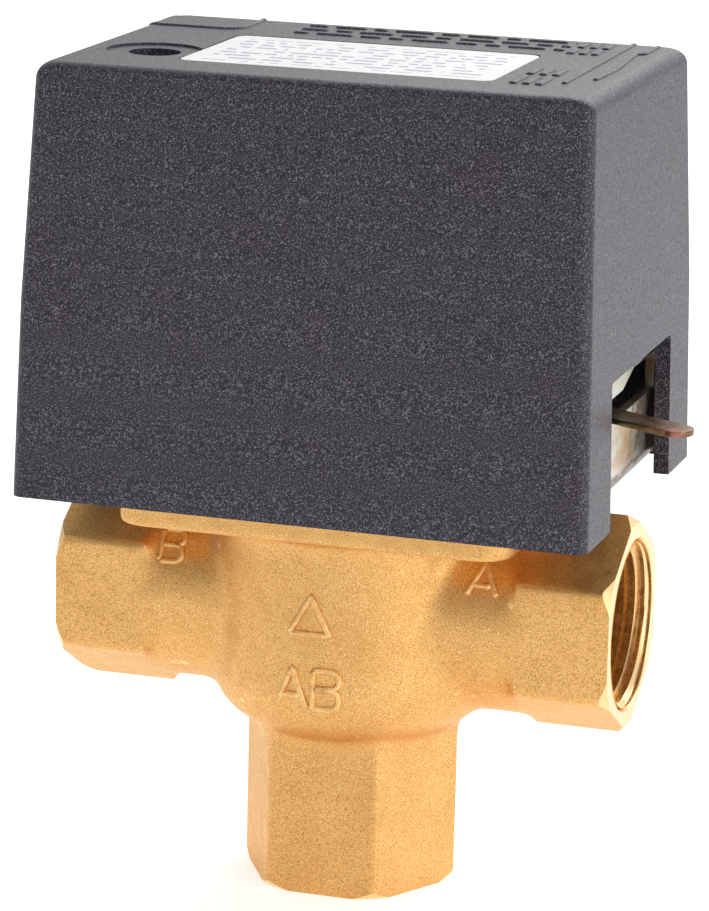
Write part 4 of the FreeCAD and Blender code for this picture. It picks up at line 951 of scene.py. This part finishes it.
def floor():
    size = 8000.0
    item = build("floor", [(-size, -size, 0), (size, -size, 0), (size, size, 0), (-size, size, 0)],
                 [(0, 1, 2, 3)])
    make = Finish("floor_paint", roughness=0.9)
    make.colour(make.mix(make.noise(40.0), (0.93, 0.93, 0.93), (0.96, 0.96, 0.96)))
    make.shader.inputs["Emission Color"].default_value = (1.0, 1.0, 1.0, 1.0)
    make.shader.inputs["Emission Strength"].default_value = 0.45
    item.data.materials.append(make.material)


def softbox(name, place, size, power, colour=(1.0, 1.0, 1.0)):
    light = bpy.data.lights.new(name, "AREA")
    light.shape = "RECTANGLE"
    light.size, light.size_y = size
    light.energy = power
    light.color = colour
    item = bpy.data.objects.new(name, light)
    item.location = place
    item.rotation_euler = (Vector((0, 0, 0.07)) - Vector(place)).to_track_quat("-Z", "Y").to_euler()
    bpy.context.scene.collection.objects.link(item)


def surroundings():
    """White studio, brightest above and behind the right side, and darker behind the viewer."""
    world = bpy.data.worlds.new("studio")
    bpy.context.scene.world = world
    world.use_nodes = True
    tree = world.node_tree
    background = tree.nodes["Background"]
    coordinates = tree.nodes.new("ShaderNodeTexCoord")
    towards = tree.nodes.new("ShaderNodeVectorMath")
    towards.operation = "DOT_PRODUCT"
    tree.links.new(coordinates.outputs["Generated"], towards.inputs[0])
    towards.inputs[1].default_value = Vector((0.5, 0.6, 0.6)).normalized()
    ramp = tree.nodes.new("ShaderNodeMapRange")
    tree.links.new(towards.outputs["Value"], ramp.inputs["Value"])
    for socket, value in (("From Min", -0.85), ("From Max", 0.55), ("To Min", 0.08), ("To Max", 1.0)):
        ramp.inputs[socket].default_value = value
    height = tree.nodes.new("ShaderNodeSeparateXYZ")
    tree.links.new(coordinates.outputs["Generated"], height.inputs[0])
    overhead = tree.nodes.new("ShaderNodeMapRange")
    tree.links.new(height.outputs["Z"], overhead.inputs["Value"])
    for socket, value in (("From Min", 0.62), ("From Max", 0.88), ("To Min", 1.0), ("To Max", 0.30)):
        overhead.inputs[socket].default_value = value
    both = tree.nodes.new("ShaderNodeMath")
    both.operation = "MULTIPLY"
    tree.links.new(ramp.outputs["Result"], both.inputs[0])
    tree.links.new(overhead.outputs["Result"], both.inputs[1])
    tree.links.new(both.outputs[0], background.inputs["Strength"])
    background.inputs["Color"].default_value = (1.0, 1.0, 1.0, 1.0)


def camera():
    back = Vector((math.sin(AZIMUTH) * math.cos(ELEVATION), -math.cos(AZIMUTH) * math.cos(ELEVATION),
                   math.sin(ELEVATION)))
    level_right = Vector((math.cos(AZIMUTH), math.sin(AZIMUTH), 0))
    level_up = back.cross(level_right)
    right = level_right * math.cos(ROLL) + level_up * math.sin(ROLL)
    up = level_up * math.cos(ROLL) - level_right * math.sin(ROLL)
    data = bpy.data.cameras.new("view")
    data.lens = LENS
    data.sensor_width = 36.0
    data.clip_start = 0.01
    item = bpy.data.objects.new("view", data)
    axes = Matrix((right, up, back)).transposed()
    item.matrix_world = Matrix.Translation(TARGET + back * DISTANCE) @ axes.to_4x4()
    bpy.context.scene.collection.objects.link(item)
    bpy.context.scene.camera = item


floor()
surroundings()
softbox("key", (-0.20, -0.70, 0.80), (0.7, 0.5), 2.0, (1.0, 0.98, 0.95))
softbox("fill", (0.75, -0.35, 0.25), (0.5, 0.6), 1.4, (1.0, 0.98, 0.96))
softbox("top", (0.15, 0.75, 0.75), (0.9, 0.7), 5.0)
camera()
bpy.context.scene.view_settings.view_transform = "Standard"
bpy.context.scene.view_settings.look = "None"
